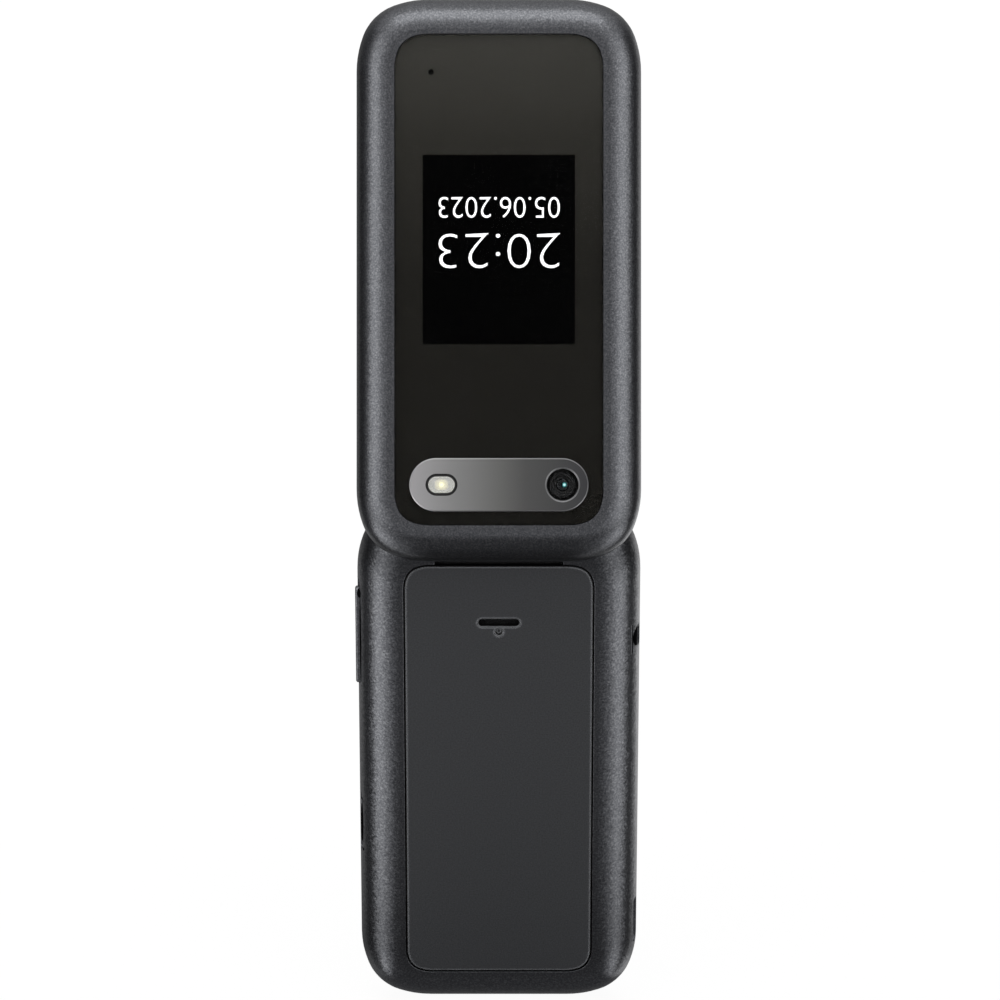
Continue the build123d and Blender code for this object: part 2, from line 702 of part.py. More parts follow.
with BuildPart() as vibration_weight:
    with BuildSketch(
        Plane(
            origin=(motor_x, hinge_y + motor_b, hinge_z - motor_place - motor_length),
            x_dir=(1, 0, 0),
            z_dir=(0, 0, -1),
        )
    ):
        Circle(0.4)
    extrude(amount=0.4 + weight_length)
    with BuildSketch(
        Plane(
            origin=(motor_x, hinge_y + motor_b, hinge_z - motor_place - motor_length - 0.4),
            x_dir=(1, 0, 0),
            z_dir=(0, 0, -1),
        )
    ):
        Circle(weight_radius)
        with Locations((0, weight_radius + 0.3)):
            Rectangle(2 * weight_radius, 2 * weight_radius, mode=Mode.SUBTRACT)
    extrude(amount=weight_length)

with BuildPart() as microphone:
    with BuildSketch(base_plane(board_front)):
        with Locations((0, (deck_start + deck_length + base_far) / 2)):
            Rectangle(microphone_width, microphone_length)
    extrude(amount=-(board_front - deck_back - seat_gap))

with BuildPart() as antenna:
    with BuildSketch(base_plane(channel_top - seat_gap)):
        with Locations((antenna_x, base_far - channel_inset - antenna_depth / 2 - 0.6)):
            Rectangle(antenna_width, antenna_depth)
            with Locations((0, antenna_slit)):
                with GridLocations(antenna_pitch, antenna_depth, 4, 1):
                    Rectangle(antenna_slit, antenna_depth - 2 * antenna_slit, mode=Mode.SUBTRACT)
    extrude(amount=-antenna_thickness)

with BuildPart() as housing_screws:
    with BuildSketch(base_plane(screw_seat)):
        with Locations(*screw_places):
            RegularPolygon(screw_head_radius, screw_sides)
    extrude(amount=screw_head_height)
    with BuildSketch(base_plane(screw_seat)):
        with Locations(*screw_places):
            RegularPolygon(screw_shank_radius, screw_sides)
    extrude(amount=-screw_length)
    with BuildSketch(base_plane(screw_seat + screw_head_height)):
        with Locations(*screw_places):
            Rectangle(screw_cross, screw_cross_width)
            Rectangle(screw_cross_width, screw_cross)
    extrude(amount=-screw_head_height / 2, mode=Mode.SUBTRACT)

# Battery cover with the loudspeaker's slot, the dimple for a fingernail and broken edges, and its dust mesh.
with BuildPart() as battery_cover:
    with BuildSketch(base_plane(cover_seat)):
        soft_outline(cover_width, cover_start, cover_end, cover_reach)
    extrude(amount=cover_thickness)
    with BuildSketch(base_plane(cover_seat)):
        with Locations((0, slot_place)):
            SlotOverall(slot_length, slot_width)
    extrude(amount=cover_thickness, mode=Mode.SUBTRACT)
    with BuildSketch(base_plane(half_base)):
        with Locations((0, nail_dimple_place)):
            Circle(nail_dimple_radius)
    extrude(amount=-nail_dimple_depth, mode=Mode.SUBTRACT)
    chamfer(battery_cover.faces().sort_by(Axis.Y)[-1].edges(), cover_edge)

with BuildPart() as speaker_mesh:
    with BuildSketch(base_plane(cover_seat)):
        with Locations((0, slot_place)):
            SlotOverall(slot_length + 2 * speaker_mesh_lip, slot_width + 2 * speaker_mesh_lip)
    extrude(amount=-speaker_mesh_thickness)

# Side keys: the volume key rocks about its middle, the alert key slides in.
with BuildPart() as volume_key:
    with BuildSketch(base_profile_plane(channel_wall - rock_gap)):
        with Locations((volume_key_place, side_key_b)):
            SlotOverall(volume_key_length, volume_key_height)
    extrude(amount=side_face + volume_key_proud - channel_wall + rock_gap)
    chamfer(volume_key.faces().sort_by(Axis.X)[-1].edges(), key_edge)
    with BuildSketch(base_profile_plane(channel_wall - rock_gap)):
        with Locations((volume_key_place, side_key_b)):
            Rectangle(volume_key_length + 1.6, volume_key_height)
    extrude(amount=-side_flange)

with BuildPart() as alert_key:
    with BuildSketch(base_profile_plane(channel_wall - seat_gap)):
        with Locations((alert_key_place, side_key_b)):
            SlotOverall(alert_key_length, alert_key_height)
    extrude(amount=side_face - 0.1 - channel_wall + seat_gap)
    chamfer(alert_key.faces().sort_by(Axis.X)[-1].edges(), key_edge)
    with BuildSketch(base_profile_plane(channel_wall - seat_gap)):
        with Locations((alert_key_place, side_key_b)):
            Rectangle(alert_key_length + 1.6, alert_key_height)
    extrude(amount=-side_flange)

# ================================================================ hinge
# Cam cartridge in the lid's barrel, the cam that the base holds still, and the hollow pivot of the flex.
with BuildPart() as hinge_cartridge:
    with BuildSketch(lid_profile_plane(-1.0)):
        double_d(drive_radius, drive_flat)
    extrude(amount=-(barrel_half - 1.0 - seat_gap))
    with BuildSketch(lid_profile_plane(-barrel_half)):
        Circle(cam_shaft_radius + slip)
    extrude(amount=5.2, mode=Mode.SUBTRACT)

with BuildPart() as hinge_cam:
    with BuildSketch(base_profile_plane(notch_half - barrel_gap / 2)):
        double_d(cam_radius, cam_flat)
    extrude(amount=ear_depth - notch_half - 0.3)
    with BuildSketch(base_profile_plane(notch_half)):
        Circle(cam_shaft_radius)
    extrude(amount=-(barrel_gap + 4.6))

with BuildPart() as hinge_sleeve:
    with BuildSketch(base_profile_plane(-sleeve_end)):
        Circle(sleeve_radius)
        Circle(sleeve_radius - sleeve_wall, mode=Mode.SUBTRACT)
    extrude(amount=sleeve_length)

flex_x = (sleeve_end + ear_depth) / 2
with BuildPart() as hinge_flex:
    with BuildSketch(base_profile_plane(-flex_x - flex_width / 2)):
        Circle(-flex_b + flex_thickness / 2)
        Circle(-flex_b - flex_thickness / 2, mode=Mode.SUBTRACT)
        with Locations((1.2, 1.2)):
            Rectangle(2.0, 2.0, mode=Mode.SUBTRACT)
    extrude(amount=sleeve_length + flex_width)
    with BuildSketch(base_plane(flex_b)):
        with Locations((-flex_x, flex_tail / 2)):
            Rectangle(flex_width, flex_tail)
    extrude(amount=flex_thickness)

# ================================================================ lid
with BuildPart() as lid_form:
    with BuildSketch(lid_plane(lid_inner)):
        soft_outline(lid_width, lid_near, lid_far, corner_reach)
    extrude(amount=lid_thickness)
    fillet(lid_form.faces().sort_by(Axis(hinge_point, lid_out))[-1].edges(), lid_outer_round)
    fillet(lid_form.faces().sort_by(Axis(hinge_point, lid_out))[0].edges(), lid_inner_round)

bumper_places = [(x, a) for x in (-bumper_x, bumper_x) for a in (bumper_near, bumper_far)]
lid_screw_head = lid_inner - bumper_proud + bumper_thickness + seat_gap

# Outer housing: the frame round the window, the plate that the window is glued to and the lid's cavity.
with BuildPart() as lid_outer_housing:
    add(lid_form.part)
    split(bisect_by=lid_plane(lid_parting_n), keep=Keep.TOP)
    with BuildSketch(lid_plane(window_seat)):
        soft_outline(
            window_width + 2 * window_seam, window_near - window_seam, window_far + window_seam, window_reach + window_seam
        )
    extrude(amount=lid_thickness, mode=Mode.SUBTRACT)
    with BuildSketch(lid_plane(lid_parting_n)):
        soft_outline(
            lid_width - 2 * lid_cavity_margin,
            lid_near + lid_cavity_margin + 1.0,
            lid_far - lid_cavity_margin,
            corner_reach - lid_cavity_margin,
        )
        with Locations(*bumper_places):
            Circle(boss_radius, mode=Mode.SUBTRACT)
    extrude(amount=outer_plate_back - lid_parting_n, mode=Mode.SUBTRACT)
    with BuildSketch(lid_plane(outer_plate_back)):
        with Locations((0, outer_view_place)):
            Rectangle(
                outer_view_width + 2 * outer_display_frame + 0.3, outer_view_length + 2 * outer_display_frame + 0.3
            )
        with Locations((camera_x, pill_place)):
            Circle(camera_barrel_radius + 0.3)
        with Locations((flash_x, pill_place)):
            SlotOverall(led_width + 1.3, led_length + 0.8)
    extrude(amount=lid_thickness, mode=Mode.SUBTRACT)
    with BuildSketch(lid_plane(window_seat)):
        with Locations((pinhole_x, lid_far - pinhole_margin)):
            Circle(pinhole_radius)
    extrude(amount=-0.6, mode=Mode.SUBTRACT)
    with BuildSketch(lid_plane(lid_parting_n)):
        with Locations(*bumper_places):
            Circle(screw_shank_radius + seat_gap / 2)
    extrude(amount=lid_screw_head + screw_head_height + screw_length + 0.2 - lid_parting_n, mode=Mode.SUBTRACT)

# Inner housing: the frame of the inner window, and the barrel that turns in the base's notch.
with BuildPart() as lid_inner_housing:
    add(lid_form.part)
    split(bisect_by=lid_plane(lid_parting_n), keep=Keep.BOTTOM)
    with BuildSketch(lid_profile_plane()):
        Circle(barrel_radius)
        with Locations(((neck_reach - barrel_radius) / 2, (lid_inner + lid_inner_round) / 2)):
            Rectangle(neck_reach + barrel_radius, lid_inner + lid_inner_round)
    extrude(amount=barrel_half, both=True)
    with BuildSketch(lid_plane(lid_inner + 0.1 + inner_window_thickness + seat_gap)):
        with Locations((0, inner_window_start + inner_window_length / 2)):
            RectangleRounded(
                inner_window_width + 2 * window_seam, inner_window_length + 2 * window_seam, inner_window_round
            )
    extrude(amount=-lid_thickness, mode=Mode.SUBTRACT)
    with BuildSketch(lid_plane(lid_parting_n)):
        with Locations((0, inner_display_place)):
            Rectangle(
                inner_view_width + 2 * inner_display_frame + 0.3, inner_view_length + 2 * inner_display_frame + 0.3
            )
        with Locations((0, earpiece_place)):
            Rectangle(earpiece_slot, earpiece_slot_width)
    extrude(amount=-lid_thickness, mode=Mode.SUBTRACT)
    with BuildSketch(lid_plane(lid_parting_n)):
        with Locations((0, earpiece_place)):
            Rectangle(earpiece_length + 0.3, earpiece_width + 0.3)
    extrude(amount=-(lid_parting - 1.0), mode=Mode.SUBTRACT)
    # Pads cover the screws at the four corners.
    with BuildSketch(lid_plane(lid_screw_head - seat_gap)):
        with Locations(*bumper_places):
            Circle(bumper_radius + seat_gap)
    extrude(amount=-lid_thickness, mode=Mode.SUBTRACT)
    with BuildSketch(lid_plane(lid_screw_head + screw_head_height)):
        with Locations(*bumper_places):
            Circle(screw_head_radius + seat_gap)
    extrude(amount=-screw_head_height - seat_gap, mode=Mode.SUBTRACT)
    with BuildSketch(lid_plane(lid_parting_n)):
        with Locations(*bumper_places):
            Circle(screw_shank_radius + seat_gap)
    extrude(amount=-lid_parting / 2, mode=Mode.SUBTRACT)
    # Bores of the barrel, and the slot through which the flex reaches the lid.
    with BuildSketch(lid_profile_plane(-barrel_half)):
        double_d(drive_radius + seat_gap, drive_flat + 2 * seat_gap)
    extrude(amount=barrel_half - 1.0 + seat_gap, mode=Mode.SUBTRACT)
    with BuildSketch(lid_profile_plane(barrel_half)):
        Circle(sleeve_radius + slip)
    extrude(amount=-(barrel_half - bore_end), mode=Mode.SUBTRACT)
    with BuildSketch(lid_profile_plane(barrel_half - 1.5)):
        with Locations((0, lid_parting_n / 2 + 1.0)):
            Rectangle(1.6, lid_parting_n)
    extrude(amount=-6.0, mode=Mode.SUBTRACT)

with BuildPart() as outer_window:
    with BuildSketch(lid_plane(window_back)):
        soft_outline(window_width, window_near, window_far, window_reach)
        with Locations((0, pill_place)):
            SlotOverall(pill_length + 2 * window_seam, pill_width + 2 * window_seam, mode=Mode.SUBTRACT)
        with Locations((pinhole_x, lid_far - pinhole_margin)):
            Circle(pinhole_radius, mode=Mode.SUBTRACT)
    extrude(amount=window_thickness)

with BuildPart() as outer_display:
    with BuildSketch(lid_plane(window_back - 2 * seat_gap)):
        with Locations((0, outer_view_place)):
            Rectangle(outer_view_width + 2 * outer_display_frame, outer_view_length + 2 * outer_display_frame)
    extrude(amount=-outer_display_thickness)

# Camera plate: a pill that stands a little proud of the window, with the flash's and the camera's openings.
with BuildPart() as camera_plate:
    with BuildSketch(lid_plane(window_seat)):
        with Locations((0, pill_place)):
            SlotOverall(pill_length, pill_width)
    extrude(amount=lid_outer + pill_proud - window_seat)
    chamfer(camera_plate.faces().sort_by(Axis(hinge_point, lid_out))[-1].edges(), 0.2)
    with BuildSketch(lid_plane(window_seat)):
        with Locations((flash_x, pill_place)):
            SlotOverall(flash_length, flash_width)
        with Locations((camera_x, pill_place)):
            Circle(camera_barrel_radius + 0.2)
    extrude(amount=lid_thickness, mode=Mode.SUBTRACT)
    with BuildSketch(lid_plane(lid_outer + pill_proud)):
        with Locations((camera_x, pill_place)):
            Circle(camera_radius + camera_bevel)
    extrude(amount=-camera_bevel, taper=45, mode=Mode.SUBTRACT)
    with BuildSketch(lid_plane(lid_outer + pill_proud)):
        with Locations((camera_x, pill_place)):
            Circle(camera_radius + seat_gap)
    extrude(amount=-camera_bevel - camera_glass_thickness, mode=Mode.SUBTRACT)

with BuildPart() as camera_lens:
    with BuildSketch(lid_plane(lid_outer + pill_proud - camera_bevel)):
        with Locations((camera_x, pill_place)):
            Circle(camera_radius)
    extrude(amount=-camera_glass_thickness + seat_gap)

camera_top = lid_outer + pill_proud - camera_bevel - camera_glass_thickness - seat_gap
with BuildPart() as camera_module:
    with BuildSketch(lid_plane(lid_parting_n + seat_gap)):
        with Locations((camera_x, pill_place)):
            Rectangle(camera_body, camera_body)
    extrude(amount=2.8)
    with BuildSketch(lid_plane(lid_parting_n + seat_gap)):
        with Locations((camera_x, pill_place)):
            Circle(camera_barrel_radius)
    extrude(amount=camera_top - lid_parting_n - seat_gap)

with BuildPart() as flash_lens:
    with BuildSketch(lid_plane(window_seat)):
        with Locations((flash_x, pill_place)):
            SlotOverall(flash_length - 2 * seat_gap, flash_width - 2 * seat_gap)
    extrude(amount=lid_outer - 0.15 - window_seat)
    with BuildSketch(lid_plane(window_seat)):
        with Locations((flash_x, pill_place)):
            SlotOverall(flash_length - 2 * flash_rim, flash_width - 2 * flash_rim)
    extrude(amount=lid_outer + 0.1 - window_seat)

with BuildPart() as flash_led:
    with BuildSketch(lid_plane(window_seat - seat_gap)):
        with Locations((flash_x, pill_place)):
            Rectangle(led_width, led_length)
    extrude(amount=-0.7)

with BuildPart() as lid_board:
    with BuildSketch(lid_plane(window_back - 2 * seat_gap - outer_display_thickness - 2 * seat_gap)):
        with Locations((0, lid_board_start + lid_board_length / 2)):
            RectangleRounded(lid_board_width, lid_board_length, 2.0)
    extrude(amount=-lid_board_thickness)

with BuildPart() as inner_window:
    with BuildSketch(lid_plane(lid_inner + 0.1)):
        with Locations((0, inner_window_start + inner_window_length / 2)):
            RectangleRounded(inner_window_width, inner_window_length, inner_window_round)
    extrude(amount=inner_window_thickness)

with BuildPart() as inner_display:
    with BuildSketch(lid_plane(lid_inner + 0.1 + inner_window_thickness + seat_gap)):
        with Locations((0, inner_display_place)):
            Rectangle(inner_view_width + 2 * inner_display_frame, inner_view_length + 2 * inner_display_frame)
    extrude(amount=inner_display_thickness)

with BuildPart() as earpiece:
    with BuildSketch(lid_plane(lid_inner + 1.0 + seat_gap)):
        with Locations((0, earpiece_place)):
            Rectangle(earpiece_length, earpiece_width)
    extrude(amount=earpiece_thickness)

with BuildPart() as earpiece_mesh:
    with BuildSketch(lid_plane(lid_inner + 0.6)):
        with Locations((0, earpiece_place)):
            Rectangle(earpiece_slot - 2 * seat_gap, earpiece_slot_width - 2 * seat_gap)
    extrude(amount=0.3)

with BuildPart() as lid_bumpers:
    with BuildSketch(lid_plane(lid_inner - bumper_proud)):
        with Locations(*bumper_places):
            Circle(bumper_radius)
    extrude(amount=bumper_thickness)

with BuildPart() as lid_screws:
    with BuildSketch(lid_plane(lid_screw_head)):
        with Locations(*bumper_places):
            RegularPolygon(screw_head_radius, screw_sides)
    extrude(amount=screw_head_height)
    with BuildSketch(lid_plane(lid_screw_head)):
        with Locations(*bumper_places):
            RegularPolygon(screw_shank_radius, screw_sides)
    extrude(amount=screw_head_height + screw_length)

with BuildPart() as lid_magnet:
    with BuildSketch(lid_plane(lid_parting_n + seat_gap)):
        with Locations((magnet_x, magnet_place)):
            Circle(magnet_radius)
    extrude(amount=magnet_thickness)

# ================================================================ files
pieces = {
    "rear_housing": rear_housing,
    "front_housing": front_housing,
    "nav_ring": nav_ring,
    "nav_centre": nav_centre,
    "keypad_membrane": keypad_membrane,
    "dome_sheet": dome_sheet,
    "main_board": main_board,
    "rf_shield": rf_shield,
    "battery": battery,
    "battery_contacts": battery_contacts,
    "sim_holder": sim_holder,
    "loudspeaker": loudspeaker,
    "audio_jack": audio_jack,
    "usb_port": usb_port,
    "vibration_motor": vibration_motor,
    "vibration_weight": vibration_weight,
    "microphone": microphone,
    "antenna": antenna,
    "housing_screws": housing_screws,
    "battery_cover": battery_cover,
    "speaker_mesh": speaker_mesh,
    "volume_key": volume_key,
    "alert_key": alert_key,
    "hinge_cartridge": hinge_cartridge,
    "hinge_cam": hinge_cam,
    "hinge_sleeve": hinge_sleeve,
    "hinge_flex": hinge_flex,
    "lid_outer_housing": lid_outer_housing,
    "lid_inner_housing": lid_inner_housing,
    "outer_window": outer_window,
    "outer_display": outer_display,
    "camera_plate": camera_plate,
    "camera_lens": camera_lens,
    "camera_module": camera_module,
    "flash_lens": flash_lens,
    "flash_led": flash_led,
    "lid_board": lid_board,
    "inner_window": inner_window,
    "inner_display": inner_display,
    "earpiece": earpiece,
    "earpiece_mesh": earpiece_mesh,
    "lid_bumpers": lid_bumpers,
    "lid_screws": lid_screws,
    "lid_magnet": lid_magnet,
    **keys,
}
os.makedirs("parts", exist_ok=True)
for name, piece in pieces.items():
    piece.part.label = name
    export_step(piece.part, f"parts/{name}.step")
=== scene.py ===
import json
from math import cos, pi, radians, sin

import bmesh
import bpy
from mathutils import Matrix, Vector


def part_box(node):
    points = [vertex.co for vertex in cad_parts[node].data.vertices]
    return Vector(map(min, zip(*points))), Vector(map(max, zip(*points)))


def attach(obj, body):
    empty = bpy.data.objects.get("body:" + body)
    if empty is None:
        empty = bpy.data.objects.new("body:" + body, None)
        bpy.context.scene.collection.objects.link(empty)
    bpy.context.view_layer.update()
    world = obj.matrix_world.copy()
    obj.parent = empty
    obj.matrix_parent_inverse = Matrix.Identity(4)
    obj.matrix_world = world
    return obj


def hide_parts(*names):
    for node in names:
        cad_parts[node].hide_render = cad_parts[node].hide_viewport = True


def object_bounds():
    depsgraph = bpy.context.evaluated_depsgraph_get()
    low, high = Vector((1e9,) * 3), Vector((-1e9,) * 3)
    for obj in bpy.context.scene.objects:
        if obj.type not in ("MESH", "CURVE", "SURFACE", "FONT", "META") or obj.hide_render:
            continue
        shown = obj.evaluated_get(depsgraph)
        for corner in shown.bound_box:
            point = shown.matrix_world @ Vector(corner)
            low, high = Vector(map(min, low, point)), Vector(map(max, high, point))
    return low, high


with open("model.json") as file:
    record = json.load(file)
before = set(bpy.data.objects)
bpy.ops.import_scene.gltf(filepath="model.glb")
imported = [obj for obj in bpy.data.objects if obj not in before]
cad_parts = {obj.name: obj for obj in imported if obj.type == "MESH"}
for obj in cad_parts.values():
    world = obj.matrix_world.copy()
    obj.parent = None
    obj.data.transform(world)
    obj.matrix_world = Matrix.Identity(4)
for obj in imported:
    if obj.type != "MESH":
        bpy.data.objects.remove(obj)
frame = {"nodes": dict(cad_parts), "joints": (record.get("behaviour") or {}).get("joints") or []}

nodes = frame["nodes"]
cad_box = [list(corner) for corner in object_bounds()]

# ======== Viewpoint
# The camera looks square on to the lid's outer face, so the base below it leans away.
# Places in the lid and in the base are told in millimetres from the hinge axis.
mm = 0.001
fold = next(joint for joint in frame["joints"] if joint["name"] == "lid_fold")
hinge = Vector(fold["pos_m"])
lean = radians(180 - fold["range_deg"][1])
lid_up = Vector((0, -sin(lean), cos(lean)))
lid_out = Vector((0, cos(lean), sin(lean)))
across = Vector((-1, 0, 0))
sideways, rearwards, upwards = Vector((1, 0, 0)), Vector((0, 1, 0)), Vector((0, 0, 1))


def lid_point(x, a, n):
    """A place in the lid, in mm: x across, a along it from the hinge axis, n out of it."""
    return hinge + (across * x + lid_up * a + lid_out * n) * mm


def base_point(x, s, b):
    """A place in the base, in mm: x across, s down from the hinge axis, b towards the rear."""
    return hinge + Vector((x, b, -s)) * mm


def linked(name, data):
    """An object of that data, in the scene."""
    made = bpy.data.objects.new(name, data)
    bpy.context.scene.collection.objects.link(made)
    return made


camera = linked("camera", bpy.data.cameras.new("camera"))
camera.data.sensor_width = 36
camera.data.lens = 197
camera.data.clip_start = 0.05
facing = Matrix((across, lid_up, lid_out)).transposed().to_4x4()
standing_at = lid_point(0.22, 6.54, 1057.55)
camera.matrix_world = Matrix.Translation(standing_at) @ facing
bpy.context.scene.camera = camera
bpy.context.scene.view_settings.view_transform = "Standard"


# ======== Table and studio
# A white sweep keeps the phone's soft shadow. Tall lit panels stand on both sides of its back, dark flags
# part them from the white room behind, and the room is dark behind the camera. A large soft box hangs
# overhead, and another lights the keypad side without showing in the gloss.
def linear(colour):
    """Linear RGBA of an sRGB hex colour."""
    parts = [int(colour[i:i + 2], 16) / 255 for i in (1, 3, 5)]
    return [c / 12.92 if c <= 0.04045 else ((c + 0.055) / 1.055) ** 2.4 for c in parts] + [1.0]


def add_node(tree, kind, settings=None, inputs=()):
    """Adds one node and sets its properties or colour stops. Its inputs, in order or by name, are filled with
    values, links or nodes, and a node stands for its first live output."""
    made = tree.nodes.new(kind)
    for name, value in (settings or {}).items():
        if name == "stops":
            bar = made.color_ramp.elements
            while len(bar) < len(value):
                bar.new(0.5)
            for element, (position, colour) in zip(bar, value):
                element.position, element.color = position, linear(colour)
        else:
            setattr(made, name, value)
    sockets = {socket.name: socket for socket in reversed(made.inputs)}
    sockets.update({socket.identifier: socket for socket in made.inputs})
    sockets.update(enumerate(made.inputs))
    for name, value in inputs.items() if isinstance(inputs, dict) else enumerate(inputs):
        if isinstance(value, bpy.types.Node):
            value = next(output for output in value.outputs if output.enabled)
        if isinstance(value, bpy.types.NodeSocket):
            tree.links.new(value, sockets[name])
        else:
            sockets[name].default_value = value
    return made


times, colours_times = {"operation": "MULTIPLY"}, {"data_type": "RGBA", "blend_type": "MULTIPLY"}


def round_the_phone(tree, right, away, stops):
    """A ramp over the bearing in degrees: 0 is straight behind the phone's back, positive to the left."""
    bearing = add_node(tree, "ShaderNodeMath", {"operation": "ARCTAN2"}, [right, away])
    turn = add_node(tree, "ShaderNodeMapRange", inputs={"Value": bearing, "From Min": -pi, "From Max": pi})
    stops = [(0.5 + degrees / 360, colour) for degrees, colour in stops]
    return add_node(tree, "ShaderNodeValToRGB", {"stops": stops}, [turn.outputs["Result"]]).outputs["Color"]


white = linear("#ffffff")
panel_brightness = 2.45
sweep = bpy.data.materials.new("matt_white_sweep")
sweep.use_nodes = True
tree = sweep.node_tree
tree.nodes.clear()
path = add_node(tree, "ShaderNodeLightPath")
seen = add_node(tree, "ShaderNodeMath", {"operation": "MAXIMUM"}, [
    path.outputs["Is Camera Ray"], path.outputs["Is Transmission Ray"]])
spot = add_node(tree, "ShaderNodeSeparateXYZ", inputs=[
    add_node(tree, "ShaderNodeTexCoord").outputs["Object"]])
side = add_node(tree, "ShaderNodeMath", {"operation": "SIGN"}, [spot.outputs["X"]])
reach = add_node(tree, "ShaderNodeMath", {"operation": "ABSOLUTE"}, [spot.outputs["X"]])
foot_half = cad_box[1][0] - 2 * mm
clear_of = add_node(tree, "ShaderNodeMath", {"operation": "SUBTRACT"}, [reach, foot_half])
beside = add_node(tree, "ShaderNodeMath", {"operation": "MAXIMUM"}, [clear_of, 0.0])
signed = add_node(tree, "ShaderNodeMath", times, [beside, side])
cards = round_the_phone(tree, signed, spot.outputs["Y"], (
    (-180, "#4a4a4b"), (-145, "#c8c8c8"), (-128, "#a0a0a0"), (-114, "#1c1c1d"), (-90, "#242425"),
    (-77, "#d8d8d8"), (-52, "#efefef"), (-36, "#9c9c9d"), (-20, "#7e7e80"), (-9, "#4a4a4b"), (9, "#4a4a4b"),
    (20, "#8a8a8c"), (36, "#b4b4b5"), (50, "#f3f3f3"), (71, "#ffffff"), (84, "#343436"), (118, "#232324"),
    (132, "#747474"), (180, "#4a4a4b")))
from_foot = add_node(tree, "ShaderNodeVectorMath", {"operation": "LENGTH"}, [
    add_node(tree, "ShaderNodeCombineXYZ", inputs={"X": beside, "Y": spot.outputs["Y"]})])
lit_floor = add_node(tree, "ShaderNodeValToRGB", {"stops": (
    (0.0, "#ffffff"), (0.011, "#f4f4f4"), (0.02, "#a8a8a8"), (0.05, "#dcdcdc"), (0.13, "#ffffff"),
    (0.2, "#ffffff"), (0.4, "#c4c4c4"), (1.0, "#c4c4c4"))}, [from_foot])
cards_lit = add_node(tree, "ShaderNodeMix", colours_times, {
    "Factor_Float": 1.0, "A_Color": cards, "B_Color": lit_floor})
paper = add_node(tree, "ShaderNodeBsdfDiffuse", inputs={"Color": linear("#e0e0e0")})
glow = add_node(tree, "ShaderNodeEmission", inputs={"Color": white, "Strength": 1.0})
card_glow = add_node(tree, "ShaderNodeEmission", inputs={"Color": cards_lit, "Strength": panel_brightness})
white_share = 0.95
shown = add_node(tree, "ShaderNodeMixShader", inputs={
    "Fac": white_share, "Shader": paper, "Shader_001": glow})
floor_look = add_node(tree, "ShaderNodeMixShader", inputs={
    "Fac": seen, "Shader": card_glow, "Shader_001": shown})
add_node(tree, "ShaderNodeOutputMaterial", inputs={"Surface": floor_look})

floor_z, floor_radius = cad_box[0][2], 6.0
table = bmesh.new()
bmesh.ops.create_circle(
    table, cap_ends=True, segments=64, radius=floor_radius, matrix=Matrix.Translation((0, 0, floor_z)))
floor_mesh = bpy.data.meshes.new("floor")
table.to_mesh(floor_mesh)
floor_mesh.materials.append(sweep)
floor = linked("floor", floor_mesh)

world = bpy.data.worlds.new("studio")
bpy.context.scene.world = world
world.use_nodes = True
tree = world.node_tree
tree.nodes.clear()
direction = add_node(tree, "ShaderNodeTexCoord").outputs["Generated"]
towards = add_node(tree, "ShaderNodeSeparateXYZ", inputs=[direction])
walls = round_the_phone(tree, towards.outputs["X"], towards.outputs["Y"], (
    (-180, "#7c7c7c"), (-135, "#707070"), (-118, "#464647"), (-98, "#3c3c3d"), (-84, "#58585a"),
    (-70, "#f4f4f4"), (-40, "#ffffff"), (-28, "#c8c8c9"), (-12, "#8e8e90"), (0, "#7c7c7e"), (12, "#88888a"),
    (28, "#b8b8b9"), (42, "#ffffff"), (66, "#ffffff"), (80, "#505052"), (118, "#464647"), (135, "#646464"),
    (180, "#7c7c7c")))
ceiling = add_node(tree, "ShaderNodeValToRGB", {"stops": (
    (0.5, "#8a8a8b"), (0.7, "#9c9c9d"), (0.9, "#a0a0a0"))}, [towards.outputs["Z"]])
high = add_node(tree, "ShaderNodeMapRange", inputs={
    "Value": towards.outputs["Z"], "From Min": 0.46, "From Max": 0.66})
room = add_node(tree, "ShaderNodeMix", {"data_type": "RGBA"}, {
    "Factor_Float": high, "A_Color": walls, "B_Color": ceiling})
toward_camera = add_node(tree, "ShaderNodeVectorMath", {"operation": "DOT_PRODUCT"}, [direction, lid_out])
dark_from, dark_to, darkest = radians(11), radians(6), 0.06
dark_corner = add_node(tree, "ShaderNodeMapRange", inputs={
    "Value": toward_camera, "From Min": cos(dark_from), "From Max": cos(dark_to),
    "To Min": panel_brightness, "To Max": darkest})
near_table = add_node(tree, "ShaderNodeMapRange", inputs={
    "Value": towards.outputs["Z"], "From Min": 0.0, "From Max": 0.42, "To Min": 0.7, "To Max": 1.0})
light = add_node(tree, "ShaderNodeBackground", inputs={
    "Color": room, "Strength": add_node(tree, "ShaderNodeMath", times, [dark_corner, near_table])})
backdrop = add_node(tree, "ShaderNodeBackground", inputs={"Color": white, "Strength": 1.0})
sky = add_node(tree, "ShaderNodeMixShader", inputs={
    "Fac": add_node(tree, "ShaderNodeLightPath").outputs["Is Camera Ray"],
    "Shader": light, "Shader_001": backdrop})
add_node(tree, "ShaderNodeOutputWorld", inputs={"Surface": sky})


def soft_box(name, place, aim, width, length, brightness):
    """A rectangular lamp of that brightness, where 1 is as bright as the background."""
    lamp = bpy.data.lights.new(name, "AREA")
    lamp.shape = "RECTANGLE"
    lamp.size, lamp.size_y = width, length
    lamp.energy = brightness * pi * width * length
    turn = (Vector(place) - Vector(aim)).to_track_quat("Z", "Y").to_matrix().to_4x4()
    box = linked(name, lamp)
    box.matrix_world = Matrix.Translation(place) @ turn
    return box


soft_box("overhead", (0, 0.1, 1.1), (0, 0, 0.05), 0.9, 0.7, 1.8)
keypad_box = soft_box("keypad_side", (0.1, -0.9, 0.55), (0, 0, 0.05), 0.8, 0.5, 8.0)
keypad_box.visible_glossy = False


